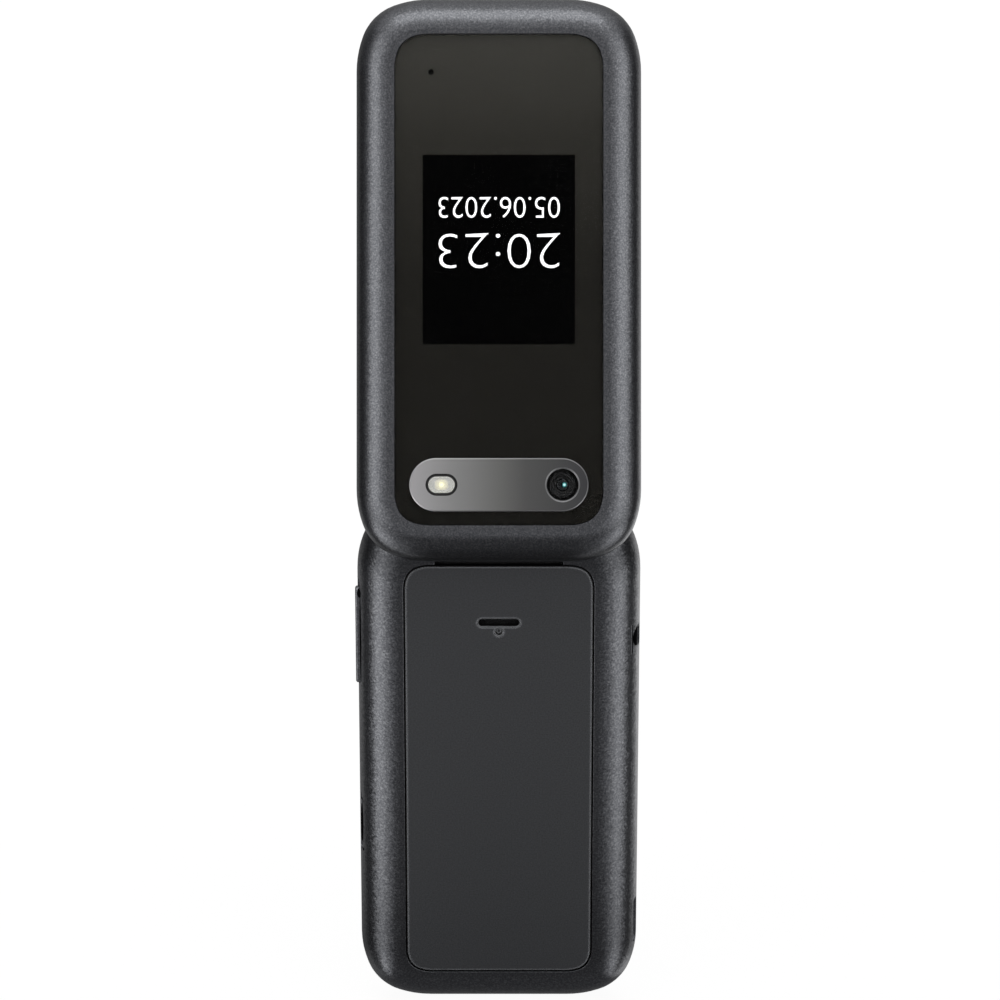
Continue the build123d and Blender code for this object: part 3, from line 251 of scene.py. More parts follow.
# ======== Painted housings
# The lid's frame and the base's back are moulded polycarbonate under a satin metallic lacquer: dark grey,
# with flakes that glint one by one. A hairline joint runs where each meets its inner half.
def surface(name, colour, roughness, metallic=0.0, **inputs):
    """Starts a material and returns it with its tree, its shader and the object's own coordinates."""
    made = bpy.data.materials.new(name)
    made.use_nodes = True
    tree = made.node_tree
    tree.nodes.clear()
    values = {"Base Color": linear(colour), "Roughness": roughness, "Metallic": metallic, **inputs}
    shader = add_node(tree, "ShaderNodeBsdfPrincipled", inputs=values)
    add_node(tree, "ShaderNodeOutputMaterial", inputs={"Surface": shader})
    place = add_node(tree, "ShaderNodeTexCoord").outputs["Object"]
    return made, tree, shader, place


def finish_with(material, *names):
    """Gives CAD pieces one material."""
    for name in names:
        nodes[name].data.materials.clear()
        nodes[name].data.materials.append(material)


def speckle(tree, place, size, *colours):
    """A colour that wanders between those given, in spots about size mm across."""
    spots = add_node(tree, "ShaderNodeTexNoise", inputs={
        "Vector": place, "Scale": 1 / (size * mm), "Detail": 2.0, "Roughness": 0.6})
    stops = [(0.3 + 0.4 * i / (len(colours) - 1), colour) for i, colour in enumerate(colours)]
    return add_node(tree, "ShaderNodeValToRGB", {"stops": stops}, [spots]).outputs["Color"]


def texture(tree, shader, place, size, depth, stretch=(1, 1, 1)):
    """A moulded or rolled texture of grains about size mm across and depth mm deep."""
    laid = add_node(tree, "ShaderNodeMapping", inputs={"Vector": place, "Scale": stretch})
    grains = add_node(tree, "ShaderNodeTexNoise", inputs={
        "Vector": laid, "Scale": 1 / (size * mm), "Detail": 2.0, "Roughness": 0.6})
    bump = add_node(tree, "ShaderNodeBump", inputs={"Height": grains, "Distance": depth * mm})
    tree.links.new(bump.outputs["Normal"], shader.inputs["Normal"])


def from_to(tree, place, start, end):
    """0 at start and 1 at end, along the line between those two places."""
    way = end - start
    far = add_node(tree, "ShaderNodeVectorMath", {"operation": "DOT_PRODUCT"}, [
        place, way / way.length_squared])
    begin = start.dot(way) / way.length_squared
    return add_node(tree, "ShaderNodeMapRange", inputs={
        "Value": far.outputs["Value"], "From Min": begin, "From Max": begin + 1}).outputs["Result"]


def clear_of_painted_shade(tree, place, middle, size):
    """0 in an oval of painted shade, of those radii in mm, and 1 just outside it."""
    off = add_node(tree, "ShaderNodeVectorMath", {"operation": "SUBTRACT"}, [place, middle])
    scaled = add_node(tree, "ShaderNodeVectorMath", times, [off, [1 / (radius * mm) for radius in size]])
    far = add_node(tree, "ShaderNodeVectorMath", {"operation": "LENGTH"}, [scaled])
    return add_node(tree, "ShaderNodeMapRange", inputs={
        "Value": far.outputs["Value"], "From Min": 0.9, "From Max": 1.0}).outputs["Result"]


def rounded_edge(tree, radius, samples, flat, leaning):
    """A normal that rounds edges by radius mm, and its lean: 0 at the flat cosine, 1 at the leaning one."""
    rounded = add_node(tree, "ShaderNodeBevel", {"samples": samples}, {
        "Radius": radius * mm}).outputs["Normal"]
    lean = add_node(tree, "ShaderNodeVectorMath", {"operation": "DOT_PRODUCT"}, [
        rounded, add_node(tree, "ShaderNodeNewGeometry").outputs["Normal"]])
    return rounded, add_node(tree, "ShaderNodeMapRange", inputs={
        "Value": lean, "From Min": flat, "From Max": leaning})


# Painted shade darkens the mouth of the audio jack and the slits round the two side keys to a dull black.
side_painted_shadows = (
    (base_point(-26.85, 21.8, -0.3), (2.2, 2.5, 2.4)),
    (base_point(27.06, 63.5, -0.1), (0.3, 1.3, 5.2)),
    (base_point(27.1, 58.3, -0.1), (0.3, 1.2, 0.8)),
    (base_point(26.88, 69.1, 0.1), (0.2, 1.2, 0.35)),
    (base_point(26.98, 22.35, -0.1), (0.2, 1.2, 10.5)),
    (base_point(27.1, 12.9, -0.4), (0.5, 1.2, 1.05)),
)
# Real flakes are about 0.05 mm, drawn larger so that they show. Each lacquer is told by its parting line and
# the way out from it, the flakes' size in mm and their tilt, its painted gap shadows, its shades, the places
# between which painted shade near the hinge goes from darkest to clear, and the colour its sharp edges are
# multiplied by, which paints shade along the lid's edges.
for name, parting, out, flake, flake_tilt, shade_hollows, shades, shade_darkest, shade_clear, edge_shade_colour, pieces in (
    ("base_lacquer", base_point(0, 0, -3.0), rearwards, 0.36, 0.12, side_painted_shadows,
     ("#505155", "#5f6063", "#77787b"), base_point(0, -2, 0), base_point(0, 8, 0), "#ffffff",
     ("rear_housing",)),
    # The keys' lacquer is a paler copy of the base's, a painted sheen on the keys.
    ("key_lacquer_painted_paler", base_point(0, 0, -9), rearwards, 0.36, 0.12, side_painted_shadows,
     ("#66676b", "#76777a", "#8e8f92"), base_point(0, -2, 0), base_point(0, 8, 0), "#ffffff",
     ("volume_key", "alert_key")),
    ("lid_lacquer", lid_point(0, 0, 7.55), lid_out, 0.3, 0.09, (),
     ("#505155", "#5f6063", "#77787b"), lid_point(0, -5.2, 0), lid_point(0, 0, 0), "#141415",
     ("lid_outer_housing",)),
):
    lacquer, tree, shader, place = surface(name, "#5a5c60", 0.32, 1.0)
    flakes = add_node(tree, "ShaderNodeTexVoronoi", inputs={"Vector": place, "Scale": 1 / (flake * mm)})
    lean_each = add_node(tree, "ShaderNodeVectorMath", {"operation": "MULTIPLY_ADD"}, [
        flakes.outputs["Color"], (flake_tilt,) * 3, (-flake_tilt / 2,) * 3])
    rounded, at_edge = rounded_edge(tree, 0.25, 6, 0.99, 0.95)
    leaning = add_node(tree, "ShaderNodeVectorMath", {"operation": "ADD"}, [lean_each, rounded])
    upright = add_node(tree, "ShaderNodeVectorMath", {"operation": "NORMALIZE"}, [leaning])
    tree.links.new(upright.outputs[0], shader.inputs["Normal"])
    paint_start, paint_full = 0.06, 0.14
    lacquer_out_of_shade = from_to(tree, place, parting + out * paint_start * mm, parting + out * paint_full * mm)
    for middle, size in shade_hollows:
        lacquer_out_of_shade = add_node(tree, "ShaderNodeMath", {"operation": "MINIMUM"}, [
            lacquer_out_of_shade, clear_of_painted_shade(tree, place, middle, size)]).outputs[0]
    # The bare joint and the painted shade are both dull black, with no gloss.
    tree.links.new(lacquer_out_of_shade, shader.inputs["Metallic"])
    tree.links.new(lacquer_out_of_shade, shader.inputs["Specular IOR Level"])
    joint_and_gap_shade = add_node(tree, "ShaderNodeMix", {"data_type": "RGBA"}, {
        "Factor_Float": lacquer_out_of_shade, "A_Color": linear("#0b0b0c"),
        "B_Color": speckle(tree, place, flake, *shades)})
    # Painted shade along the lid's sharp edges, which are multiplied near black; white leaves the base and
    # keys as they are.
    edge_shaded = add_node(tree, "ShaderNodeMix", colours_times, {
        "Factor_Float": at_edge, "A_Color": joint_and_gap_shade, "B_Color": linear(edge_shade_colour)})
    # Painted shade: the lacquer is darker towards the hinge, under the other half.
    hinge_shade = add_node(tree, "ShaderNodeValToRGB", {"stops": ((0.0, "#b0b0b0"), (1.0, "#ffffff"))}, [
        from_to(tree, place, shade_darkest, shade_clear)])
    hinge_shaded = add_node(tree, "ShaderNodeMix", colours_times, {
        "Factor_Float": 1.0, "A_Color": edge_shaded, "B_Color": hinge_shade})
    tree.links.new(hinge_shaded.outputs[2], shader.inputs["Base Color"])
    finish_with(lacquer, *pieces)

# ======== Battery cover
# One flat moulding with a spark-eroded texture, plain matt dark grey, a little darker than the lacquer.
# Its only details are the loudspeaker's slot and a dimple for a fingernail. It clips into the back, and its
# rounded edge carries a painted highlight above painted shade in the seam.
cover_paint, tree, shader, place = surface(
    "spark_eroded_cover", "#333436", 0.5, 0.1, **{"Specular IOR Level": 0.4})
texture(tree, shader, place, 0.28, 0.03)
rounded, at_edge = rounded_edge(tree, 0.7, 8, 1.0, 0.9)
tree.links.new(rounded, shader.inputs["Normal"].links[0].from_node.inputs["Normal"])
edge_start = 0.04
# Painted highlight on the inner part of the rounded edge and painted shade on its outer part, at the seam.
painted_edge_highlight_and_shade = add_node(tree, "ShaderNodeValToRGB", {"stops": (
    (edge_start, "#333436"), (0.08, "#808285"), (0.42, "#808285"), (0.52, "#050505"))}, [at_edge])
on_edge = add_node(tree, "ShaderNodeMath", {"operation": "GREATER_THAN"}, [at_edge, edge_start])
cover_colour_with_painted_edge = add_node(tree, "ShaderNodeMix", {"data_type": "RGBA"}, {
    "Factor_Float": on_edge, "A_Color": speckle(tree, place, 0.3, "#2d2e30", "#3a3b3d"), "B_Color": painted_edge_highlight_and_shade})
tree.links.new(cover_colour_with_painted_edge.outputs[2], shader.inputs["Base Color"])
finish_with(cover_paint, "battery_cover")


# ======== Inner shells
# The inner face of the lid with its hinge barrel, and the keypad side of the base: satin black polycarbonate
# straight from the mould, with a fine even grain.
def mottled(name, colour, roughness, metallic, spots, grain=None, **inputs):
    """A plain material. spots holds a size in mm and the colours that wander in spots of that size. grain
    holds the grains' size and depth in mm and, where they are drawn out along the piece, their stretch."""
    made, tree, shader, place = surface(name, colour, roughness, metallic, **inputs)
    tree.links.new(speckle(tree, place, *spots), shader.inputs["Base Color"])
    if grain:
        texture(tree, shader, place, *grain)
    return made


inner_plastic = mottled(
    "satin_black_polycarbonate", "#161618", 0.38, 0.0, (0.5, "#131315", "#1a1a1c"), (0.35, 0.012))
finish_with(inner_plastic, "front_housing", "lid_inner_housing")
# A darker, duller copy of the same plastic, bare of paint, lines the battery's bay. It also paints shade on
# the walls under the window, in the recess for the hinge barrel and on the battery cover's edge.
bare_and_shade_plastic = mottled(
    "bare_black_polycarbonate_and_painted_shade", "#0c0c0d", 0.6, 0.0, (0.5, "#0a0a0b", "#101011"),
    **{"Specular IOR Level": 0.1})
half_recess, recess_start, recess_end, recess_top = 18.6, 4.1, 94.4, 5.2
barrel_half = 12.7
window_half, window_ends, window_top = 19.85, (1.8, 95.4), 13.6
cover_half, cover_ends, cover_edge_top = 17.9, (4.8, 93.6), recess_top - 0.3
corner_half, corner_ends = 14, (8, 90)
flat_enough = 0.95
for name in ("rear_housing", "lid_outer_housing", "battery_cover"):
    mesh = nodes[name].data
    mesh.materials.append(bare_and_shade_plastic)
    for face in mesh.polygons:
        off = face.center - hinge
        x, s, b = abs(off.x) / mm, -off.z / mm, off.y / mm
        a, n = off.dot(lid_up) / mm, off.dot(lid_out) / mm
        if name == "rear_housing":
            bare_or_shade_face = (x < half_recess and recess_start < s < recess_end and b < recess_top) or (
                x < barrel_half and s < recess_start and face.normal.z > 0.1)
        elif name == "lid_outer_housing":
            bare_or_shade_face = x < window_half and window_ends[0] < a < window_ends[1] and n < window_top
        else:
            in_corner = x > corner_half and not corner_ends[0] < s < corner_ends[1]
            outline = x > cover_half or s < cover_ends[0] or s > cover_ends[1] or in_corner
            bare_or_shade_face = face.normal.y < flat_enough and (outline or b < cover_edge_top)
        if bare_or_shade_face:
            face.material_index = 1

# ======== Outer window
# Hardened cover glass, clear, glued into the lid's frame. A warm black print on its back leaves the display's
# view open. The print is painted paler towards the far end from the hinge, a painted reflection.
glass, tree, shader, place = surface("hardened_cover_glass", "#ffffff", 0.02, 0.0, **{
    "Transmission Weight": 1.0, "IOR": 1.5})
smudges = add_node(tree, "ShaderNodeTexNoise", inputs={"Vector": place, "Scale": 1 / (9 * mm), "Detail": 3.0})
tree.links.new(add_node(tree, "ShaderNodeMapRange", inputs={
    "Value": smudges, "From Min": 0.35, "From Max": 0.75, "To Min": 0.015, "To Max": 0.05,
}).outputs["Result"], shader.inputs["Roughness"])
finish_with(glass, "outer_window", "inner_window", "camera_lens")
for name in ("outer_window", "inner_window", "camera_lens"):
    nodes[name].visible_shadow = False

print_black, tree, shader, place = surface(
    "warm_black_screen_print", "#1b1a18", 0.6, **{"Specular IOR Level": 0.0})
# Painted reflection: the print is paler towards the far end.
painted_reflection_fade = add_node(tree, "ShaderNodeValToRGB", {"stops": (
    (0.25, "#23221f"), (0.5, "#252421"), (0.78, "#34332f"), (1.0, "#454440"))}, [
    from_to(tree, place, lid_point(0, 2, 0), lid_point(0, 95, 0))])
dots = add_node(tree, "ShaderNodeMix", colours_times, {
    "Factor_Float": 0.25, "A_Color": painted_reflection_fade, "B_Color": speckle(tree, place, 0.4, "#b0b0b0", "#ffffff")})
tree.links.new(dots.outputs[2], shader.inputs["Base Color"])


def placed(name, shape, material):
    """Makes an object of a finished shape."""
    mesh = bpy.data.meshes.new(name)
    shape.to_mesh(mesh)
    shape.free()
    mesh.materials.clear()
    mesh.materials.append(material)
    return linked(name, mesh)


def thickened(name, shape, way, material):
    """Gives flat faces a thickness and makes an object of them."""
    grown = bmesh.ops.extrude_face_region(shape, geom=shape.faces[:])
    top = [item for item in grown["geom"] if isinstance(item, bmesh.types.BMVert)]
    bmesh.ops.translate(shape, verts=top, vec=way)
    bmesh.ops.triangulate(shape, faces=shape.faces)
    bmesh.ops.recalc_face_normals(shape, faces=shape.faces)
    return placed(name, shape, material)


def back_sheet(name, node, outward, view_middle, view_size, gap, thickness):
    """A thin sheet behind a window, with the window's own outline and an open view."""
    sheet = bmesh.new()
    sheet.from_mesh(nodes[node].data)
    bmesh.ops.remove_doubles(sheet, verts=sheet.verts, dist=1e-7)
    front = [face for face in sheet.faces if face.normal.dot(outward) > -0.99]
    bmesh.ops.delete(sheet, geom=front, context="FACES")
    for side, half in ((across, view_size[0] / 2), (lid_up, view_size[1] / 2)):
        for sign in (-1, 1):
            bmesh.ops.bisect_plane(sheet, geom=sheet.verts[:] + sheet.edges[:] + sheet.faces[:], dist=1e-9,
                                   plane_co=view_middle + side * sign * half * mm, plane_no=side)
    inside = []
    for face in sheet.faces:
        off = face.calc_center_median() - view_middle
        if abs(off.dot(across)) < view_size[0] / 2 * mm and abs(off.dot(lid_up)) < view_size[1] / 2 * mm:
            inside.append(face)
    bmesh.ops.delete(sheet, geom=inside, context="FACES")
    bmesh.ops.dissolve_limit(sheet, angle_limit=0.01, verts=sheet.verts, edges=sheet.edges)
    bmesh.ops.translate(sheet, verts=sheet.verts, vec=-outward * gap * mm)
    return thickened(name, sheet, -outward * thickness * mm, print_black)


glue_gap, print_depth = 0.005, 0.03
window_print = back_sheet("window_print", "outer_window", lid_out, lid_point(0, 54.35, 0), (29.1, 36.2),
                          glue_gap, print_depth)
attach(window_print, "lid")

# ======== Outer display
# A small liquid crystal panel behind the window, black, with the hour and the date lit in white. They read
# the right way up when the phone is closed, so they stand on their head here.
panel = mottled(
    "black_display_panel", "#030304", 0.3, 0.0, (0.15, "#010101", "#020202"), **{"Specular IOR Level": 0.0})
finish_with(panel, "outer_display")

lit, tree, shader, place = surface("lit_white_segments", "#ffffff", 0.5, **{"Emission Strength": 0.95})
tree.links.new(speckle(tree, place, 0.3, "#f4f6fa", "#ffffff"), shader.inputs["Emission Color"])


def flat_text(name, words, right, up, corner, width, height, thickness, material, thinner=0.0):
    """Plain figures that fill a box of that width and height from their lower left corner, in mm."""
    curve = bpy.data.curves.new(name, "FONT")
    curve.body = words
    curve.resolution_u = 4
    curve.offset = -thinner
    written = linked(name, curve)
    bpy.context.view_layer.update()
    mesh = bpy.data.meshes.new_from_object(written.evaluated_get(bpy.context.evaluated_depsgraph_get()))
    bpy.data.objects.remove(written)
    shape = bmesh.new()
    shape.from_mesh(mesh)
    bmesh.ops.remove_doubles(shape, verts=shape.verts, dist=1e-6)
    low = Vector([min(v.co[i] for v in shape.verts) for i in range(3)])
    size = Vector([max(v.co[i] for v in shape.verts) for i in range(3)]) - low
    for vert in shape.verts:
        part = vert.co - low
        vert.co = corner + (right * (part.x / size.x * width) + up * (part.y / size.y * height)) * mm
    return thickened(name, shape, right.cross(up) * thickness * mm, material)


display_face = 12.505  # just off the panel's front
figures_start, figures_width, lit_depth = 11.65, 23.15, 0.02
clock = flat_text("clock_figures", "20:23", -across, -lid_up, lid_point(figures_start, 57.5, display_face),
                  figures_width, 6.7, lit_depth, lit, thinner=0.022)
date = flat_text("date_figures", "05.06.2023", -across, -lid_up, lid_point(figures_start, 64.4, display_face),
                 figures_width, 4.0, lit_depth, lit, thinner=0.012)
for figures in (clock, date):
    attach(figures, "lid")

# ======== Camera plate
# A pill of satin anodised aluminium, glued into the window. Its colour is graded along the plate, paler at
# the flash, as a painted reflection. The bevelled rim is cut bright and painted paler still as a painted
# highlight, and the seat under the camera's glass is inked black.
camera_x, pill_a, plate_n = 12.15, 9.45, 13.0
plate_metal, tree, shader, place = surface("anodised_aluminium_painted_reflection", "#8a8a8a", 0.36, 0.7)
# Painted reflection: the colour grades from pale to dark across the plate.
painted_reflection_grade = add_node(tree, "ShaderNodeValToRGB", {"stops": (
    (0.0, "#b4b2b3"), (0.25, "#949493"), (0.5, "#747472"), (0.65, "#5c5c5b"), (1.0, "#444446"))}, [
    from_to(tree, place, lid_point(-17, 0, 0), lid_point(17, 0, 0))])
level = add_node(tree, "ShaderNodeVectorMath", {"operation": "DOT_PRODUCT"}, [
    add_node(tree, "ShaderNodeNewGeometry").outputs["Normal"], lid_out])
# Painted highlight on the bevelled rim, over its cut brightness.
rim_cut_and_highlight = add_node(tree, "ShaderNodeMapRange", inputs={
    "Value": level, "From Min": 0.95, "From Max": 0.85, "To Max": 0.22})
cut_rim_painted_highlight = add_node(tree, "ShaderNodeMix", {"data_type": "RGBA"}, {
    "Factor_Float": rim_cut_and_highlight, "A_Color": painted_reflection_grade, "B_Color": linear("#e4e4e6")})
from_lens = add_node(tree, "ShaderNodeVectorMath", {"operation": "DISTANCE"}, [
    place, lid_point(camera_x, pill_a, plate_n)])
seat_radius = 3.06
inked = add_node(tree, "ShaderNodeMath", {"operation": "LESS_THAN"}, [from_lens, seat_radius * mm])
lens_seat = add_node(tree, "ShaderNodeMix", {"data_type": "RGBA"}, {
    "Factor_Float": inked, "A_Color": cut_rim_painted_highlight, "B_Color": linear("#020202")})
tree.links.new(lens_seat.outputs[2], shader.inputs["Base Color"])
texture(tree, shader, place, 0.22, 0.006)
finish_with(plate_metal, "camera_plate")


# ======== Camera
# A fixed-focus camera behind a flat cover glass: a black barrel that steps inwards to its front element, with
# a painted blue-green glint over the pupil.
def turned(name, rings, material, closed=False):
    """A shell through rings of points, capped at both ends or joined back to its start."""
    shape = bmesh.new()
    loops = [[shape.verts.new(point) for point in ring] for ring in rings]
    for first, second in zip(loops, loops[1:] + loops[:1] if closed else loops[1:]):
        for i in range(len(first)):
            j = (i + 1) % len(first)
            shape.faces.new((first[i], first[j], second[j], second[i]))
    if not closed:
        shape.faces.new(loops[0])
        shape.faces.new(loops[-1])
    bmesh.ops.recalc_face_normals(shape, faces=shape.faces)
    return placed(name, shape, material)


def lid_ring(x, a, n, radius, straight=0.0, count=48):
    """A circle square to the lid, drawn out across it into an oval by twice the straight length."""
    ring = []
    for i in range(count):
        angle = 2 * pi * (i + 0.5) / count
        stretch = straight if cos(angle) > 0 else -straight
        ring.append(lid_point(x + stretch + radius * cos(angle), a + radius * sin(angle), n))
    return ring


barrel_black = mottled(
    "matt_black_camera_barrel", "#060607", 0.5, 0.0, (0.2, "#050506", "#0a0a0b"), (0.1, 0.004),
    **{"Specular IOR Level": 0.3})
front = plate_n
barrel = turned("camera_barrel", [lid_ring(camera_x, pill_a, n, radius) for radius, n in (
    (2.5, 7.7), (2.5, front), (2.25, front), (2.15, front - 0.15), (1.75, front - 0.2), (1.65, front - 0.35),
    (1.25, front - 0.4), (1.1, front - 0.8), (0.7, front - 0.85), (0.7, front - 1.2), (0.2, front - 1.2))],
    barrel_black)
body_half = 3.8
body = turned("camera_body", [
    [lid_point(camera_x + x * body_half, pill_a + a * body_half, n)
     for x, a in ((1, 1), (-1, 1), (-1, -1), (1, -1))] for n in (7.6, 10.4)], barrel_black)
element_glass = mottled(
    "coated_lens_element", "#050a0c", 0.04, 0.0, (0.8, "#040709", "#0a0508"),
    **{"IOR": 1.5, "Coat Weight": 0.15, "Coat Tint": linear("#58d8d0"), "Specular IOR Level": 0.2})
element = turned("camera_front_element", [
    lid_ring(camera_x, pill_a, front - 0.75 + 0.4 * cos(angle), 1.2 * sin(angle), count=32)
    for angle in [radians(step) for step in (90, 75, 60, 45, 30, 15, 2)]], element_glass)


def painted_glow_from(tree, shader, place, middle, near, far, *stops):
    """Painted light whose colour goes through the stops from near to far, in mm, from a middle."""
    away = add_node(tree, "ShaderNodeVectorMath", {"operation": "DISTANCE"}, [place, middle])
    share = add_node(tree, "ShaderNodeMapRange", inputs={
        "Value": away, "From Min": near * mm, "From Max": far * mm})
    ramp = add_node(tree, "ShaderNodeValToRGB", {"stops": stops}, [share])
    tree.links.new(ramp.outputs["Color"], shader.inputs["Emission Color"])


# The coating's glint is a painted glint, a faint light of its own, white amid the pupil and teal at its rim.
glint_x, glint_radius = camera_x + 0.36, 0.52
painted_glint_glass, tree, shader, place = surface("painted_glint_on_pupil", "#0a2a2c", 0.15, 0.0, **{"Emission Strength": 0.9})
painted_glow_from(tree, shader, place, lid_point(glint_x, pill_a, front - 0.34), 0.05, glint_radius, (0.0, "#f4ffff"),
          (0.3, "#c8ffff"), (0.55, "#2a9a9a"), (0.85, "#05383a"), (1.0, "#021416"))
glint_disc = turned("camera_painted_glint", [
    lid_ring(glint_x, pill_a, front - 0.37 + 0.03 * rise, glint_radius * (1 - 0.9 * rise ** 2), count=24)
    for rise in (0, 0.5, 1)], painted_glint_glass)
for part in (barrel, body, element, glint_disc):
    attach(part, "lid")
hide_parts("camera_module")
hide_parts("camera_module")

# ======== Flash
# A white emitter with yellow phosphor in a pale moulded cup, under a frosted acrylic window that a black
# gasket holds in the plate. The phosphor glows with painted light, brightest in the middle.
flash_x, flash_straight = -10.95, 0.95
gasket_rubber = mottled("black_silicone_gasket", "#0a0a0a", 0.55, 0.0, (0.2, "#080808", "#0f0f0f"))
gasket = turned("flash_gasket", [lid_ring(flash_x, pill_a, n, radius, flash_straight) for radius, n in (
    (2.05, 12.57), (2.05, 13.4), (1.95, 13.5), (1.65, 13.5), (1.58, 13.4), (1.58, 12.57))],
    gasket_rubber, closed=True)
cup_plastic = mottled("white_reflector_plastic", "#9a9884", 0.35, 0.0, (0.4, "#928f7a", "#a6a48f"))
cup = turned("flash_cup", [lid_ring(flash_x, pill_a, n, radius, straight) for radius, straight, n in (
    (1.57, flash_straight, 12.56), (1.57, flash_straight, 13.35), (1.5, flash_straight, 13.38),
    (1.35, 0.75, 12.95), (1.1, 0.5, 12.65), (1.0, 0.4, 12.56))], cup_plastic, closed=True)
frosted, tree, shader, place = surface("frosted_acrylic", "#f4f5f6", 0.16, 0.0, **{
    "Transmission Weight": 0.75, "IOR": 1.49})
texture(tree, shader, place, 0.25, 0.02)
flash_window = turned("flash_window", [
    lid_ring(flash_x, pill_a, n, radius, straight) for radius, straight, n in (
        (1.57, flash_straight, 13.4), (1.57, flash_straight, 13.6), (1.4, flash_straight, 13.7),
        (0.8, 0.6, 13.74), (0.1, 0.1, 13.75))], frosted)
flash_window.visible_shadow = False
# Painted light: the phosphor glows though the flash is not lit.
phosphor_painted_glow, tree, shader, place = surface("yellow_phosphor_painted_glow", "#b8b07c", 0.5, 0.0, **{"Emission Strength": 2.6})
painted_glow_from(tree, shader, place, lid_point(flash_x, pill_a, plate_n), 0.2, 1.3, (0.0, "#fffce0"),
          (0.2, "#fff4a0"), (0.5, "#88815a"), (1.0, "#4e4c40"))
finish_with(phosphor_painted_glow, "flash_led")
for part, slot in ((gasket, "camera_black"), (cup, "camera_black"), (flash_window, "flash_clear")):
    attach(part, "lid")
    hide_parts("flash_lens")

# ======== Keys of the keypad
# Moulded black keycaps with a soft sheen and white printed figures, a handset in green and in red on the
# call and end keys, a dash on the soft keys, and a four-way ring with a mark on each side.
keycap = mottled(
    "satin_black_keycap", "#141416", 0.3, 0.0, (0.3, "#111113", "#18181a"), (0.25, 0.008),
    **{"Coat Weight": 0.2})
figure_keys = [f"key_{figure}" for figure in (1, 2, 3, 4, 5, 6, 7, 8, 9, "star", 0, "hash")]
finish_with(keycap, *figure_keys, "soft_key_left", "soft_key_right", "call_key", "end_key", "nav_ring")
centre_cap = mottled(
    "brushed_centre_cap", "#77787b", 0.32, 0.9, (0.2, "#6b6c6f", "#838487"), (0.12, 0.01, (0.06, 1, 1)))
finish_with(centre_cap, "nav_centre")
inks, ink_depth = {}, 0.012
for name, dark, pale in (("pale_grey_ink", "#cfd0d2", "#e0e1e2"), ("green_ink", "#2f9a4c", "#3bb45c"),
                         ("red_ink", "#b3262b", "#d0383c")):
    inks[name] = mottled(name, pale, 0.45, 0.0, (0.2, dark, pale))


def flat_shape(name, outlines, right, up, middle, thickness, material):
    """Flat figures given by outlines in mm about their middle."""
    shape = bmesh.new()
    for outline in outlines:
        shape.faces.new([shape.verts.new(middle + (right * x + up * y) * mm) for x, y in outline])
    return thickened(name, shape, right.cross(up) * thickness * mm, material)


def bar(x, y, half_x, half_y):
    """The outline of a bar about x, y."""
    return [(x - half_x, y - half_y), (x + half_x, y - half_y),
            (x + half_x, y + half_y), (x - half_x, y + half_y)]


def tilted(outline, degrees):
    """An outline turned about its middle."""
    turn = radians(degrees)
    return [(x * cos(turn) - y * sin(turn), x * sin(turn) + y * cos(turn)) for x, y in outline]


def top_middle(name):
    """Middle of a keycap's top, a hair in front of it."""
    low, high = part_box(name)
    return Vector(((low.x + high.x) / 2, low.y - 0.002 * mm, (low.z + high.z) / 2))


for name, figure in zip(figure_keys, "123456789*0#"):
    tall = 2.7 if figure == "*" else 3.6
    wide = {"1": 0.5, "*": 2.6}.get(figure, 2.3)
    corner = top_middle(name) - (sideways * wide / 2 + upwards * tall / 2) * mm
    mark = flat_text(f"figure_on_{name}", figure, sideways, upwards, corner, wide, tall, ink_depth,
                     inks["pale_grey_ink"], thinner=0.008)
    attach(mark, name)
handset = [(2.3 * cos(radians(t)), 1.5 * sin(radians(t)) - 0.4) for t in range(10, 171, 10)]
handset += [(-2.35, -0.75), (-1.25, -0.75), (-1.2, -0.05)]
handset += [(-1.15 * cos(radians(t)), 0.55 * sin(radians(t)) - 0.05) for t in range(15, 166, 15)]
handset += [(1.2, -0.05), (1.25, -0.75), (2.35, -0.75)]
for name, outline, ink in (
    ("call_key", tilted(handset, 48), "green_ink"), ("end_key", handset, "red_ink"),
    ("soft_key_left", bar(0, 0, 1.5, 0.2), "pale_grey_ink"),
    ("soft_key_right", bar(0, 0, 1.5, 0.2), "pale_grey_ink"),
):
    mark = flat_shape(f"mark_on_{name}", [outline], sideways, upwards, top_middle(name), ink_depth, inks[ink])
    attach(mark, name)
ring_marks = [tilted([(-0.85, 7.1), (0.85, 7.1), (0, 8.0)], turn) for turn in (0, 90, 180, 270)]
mark = flat_shape("marks_on_ring", ring_marks, sideways, upwards, top_middle("nav_ring"), ink_depth,
                  inks["pale_grey_ink"])
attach(mark, "nav_ring")

# ======== Inner display
# The main screen behind its own window: a black print round it, and a plain lit picture, a dusk sky over
# rolling hills, with the hour, a signal meter and a charge meter.
inner_print = back_sheet("inner_window_print", "inner_window", -lid_out, lid_point(0, 55, 0), (42.7, 56.9),
                         glue_gap, print_depth)
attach(inner_print, "lid")
screen, tree, shader, place = surface("lit_screen_picture", "#050506", 0.4, 0.0, **{"Emission Strength": 0.8})
hills = add_node(tree, "ShaderNodeTexNoise", inputs={
    "Vector": place, "Scale": 1 / (26 * mm), "Detail": 1.0, "Roughness": 0.35})
climb = add_node(tree, "ShaderNodeMath", {"operation": "MULTIPLY_ADD"}, [
    hills, 0.35, from_to(tree, place, lid_point(0, 16, 0), lid_point(0, 84, 0))])
sky_colours = add_node(tree, "ShaderNodeValToRGB", {"stops": (
    (0.18, "#0d1c2c"), (0.40, "#17354c"), (0.41, "#2a5a74"), (0.56, "#3f7c90"), (0.57, "#e0b48a"),
    (0.75, "#7f8fb0"), (1.0, "#26375f"))}, [climb])
tree.links.new(sky_colours.outputs["Color"], shader.inputs["Emission Color"])
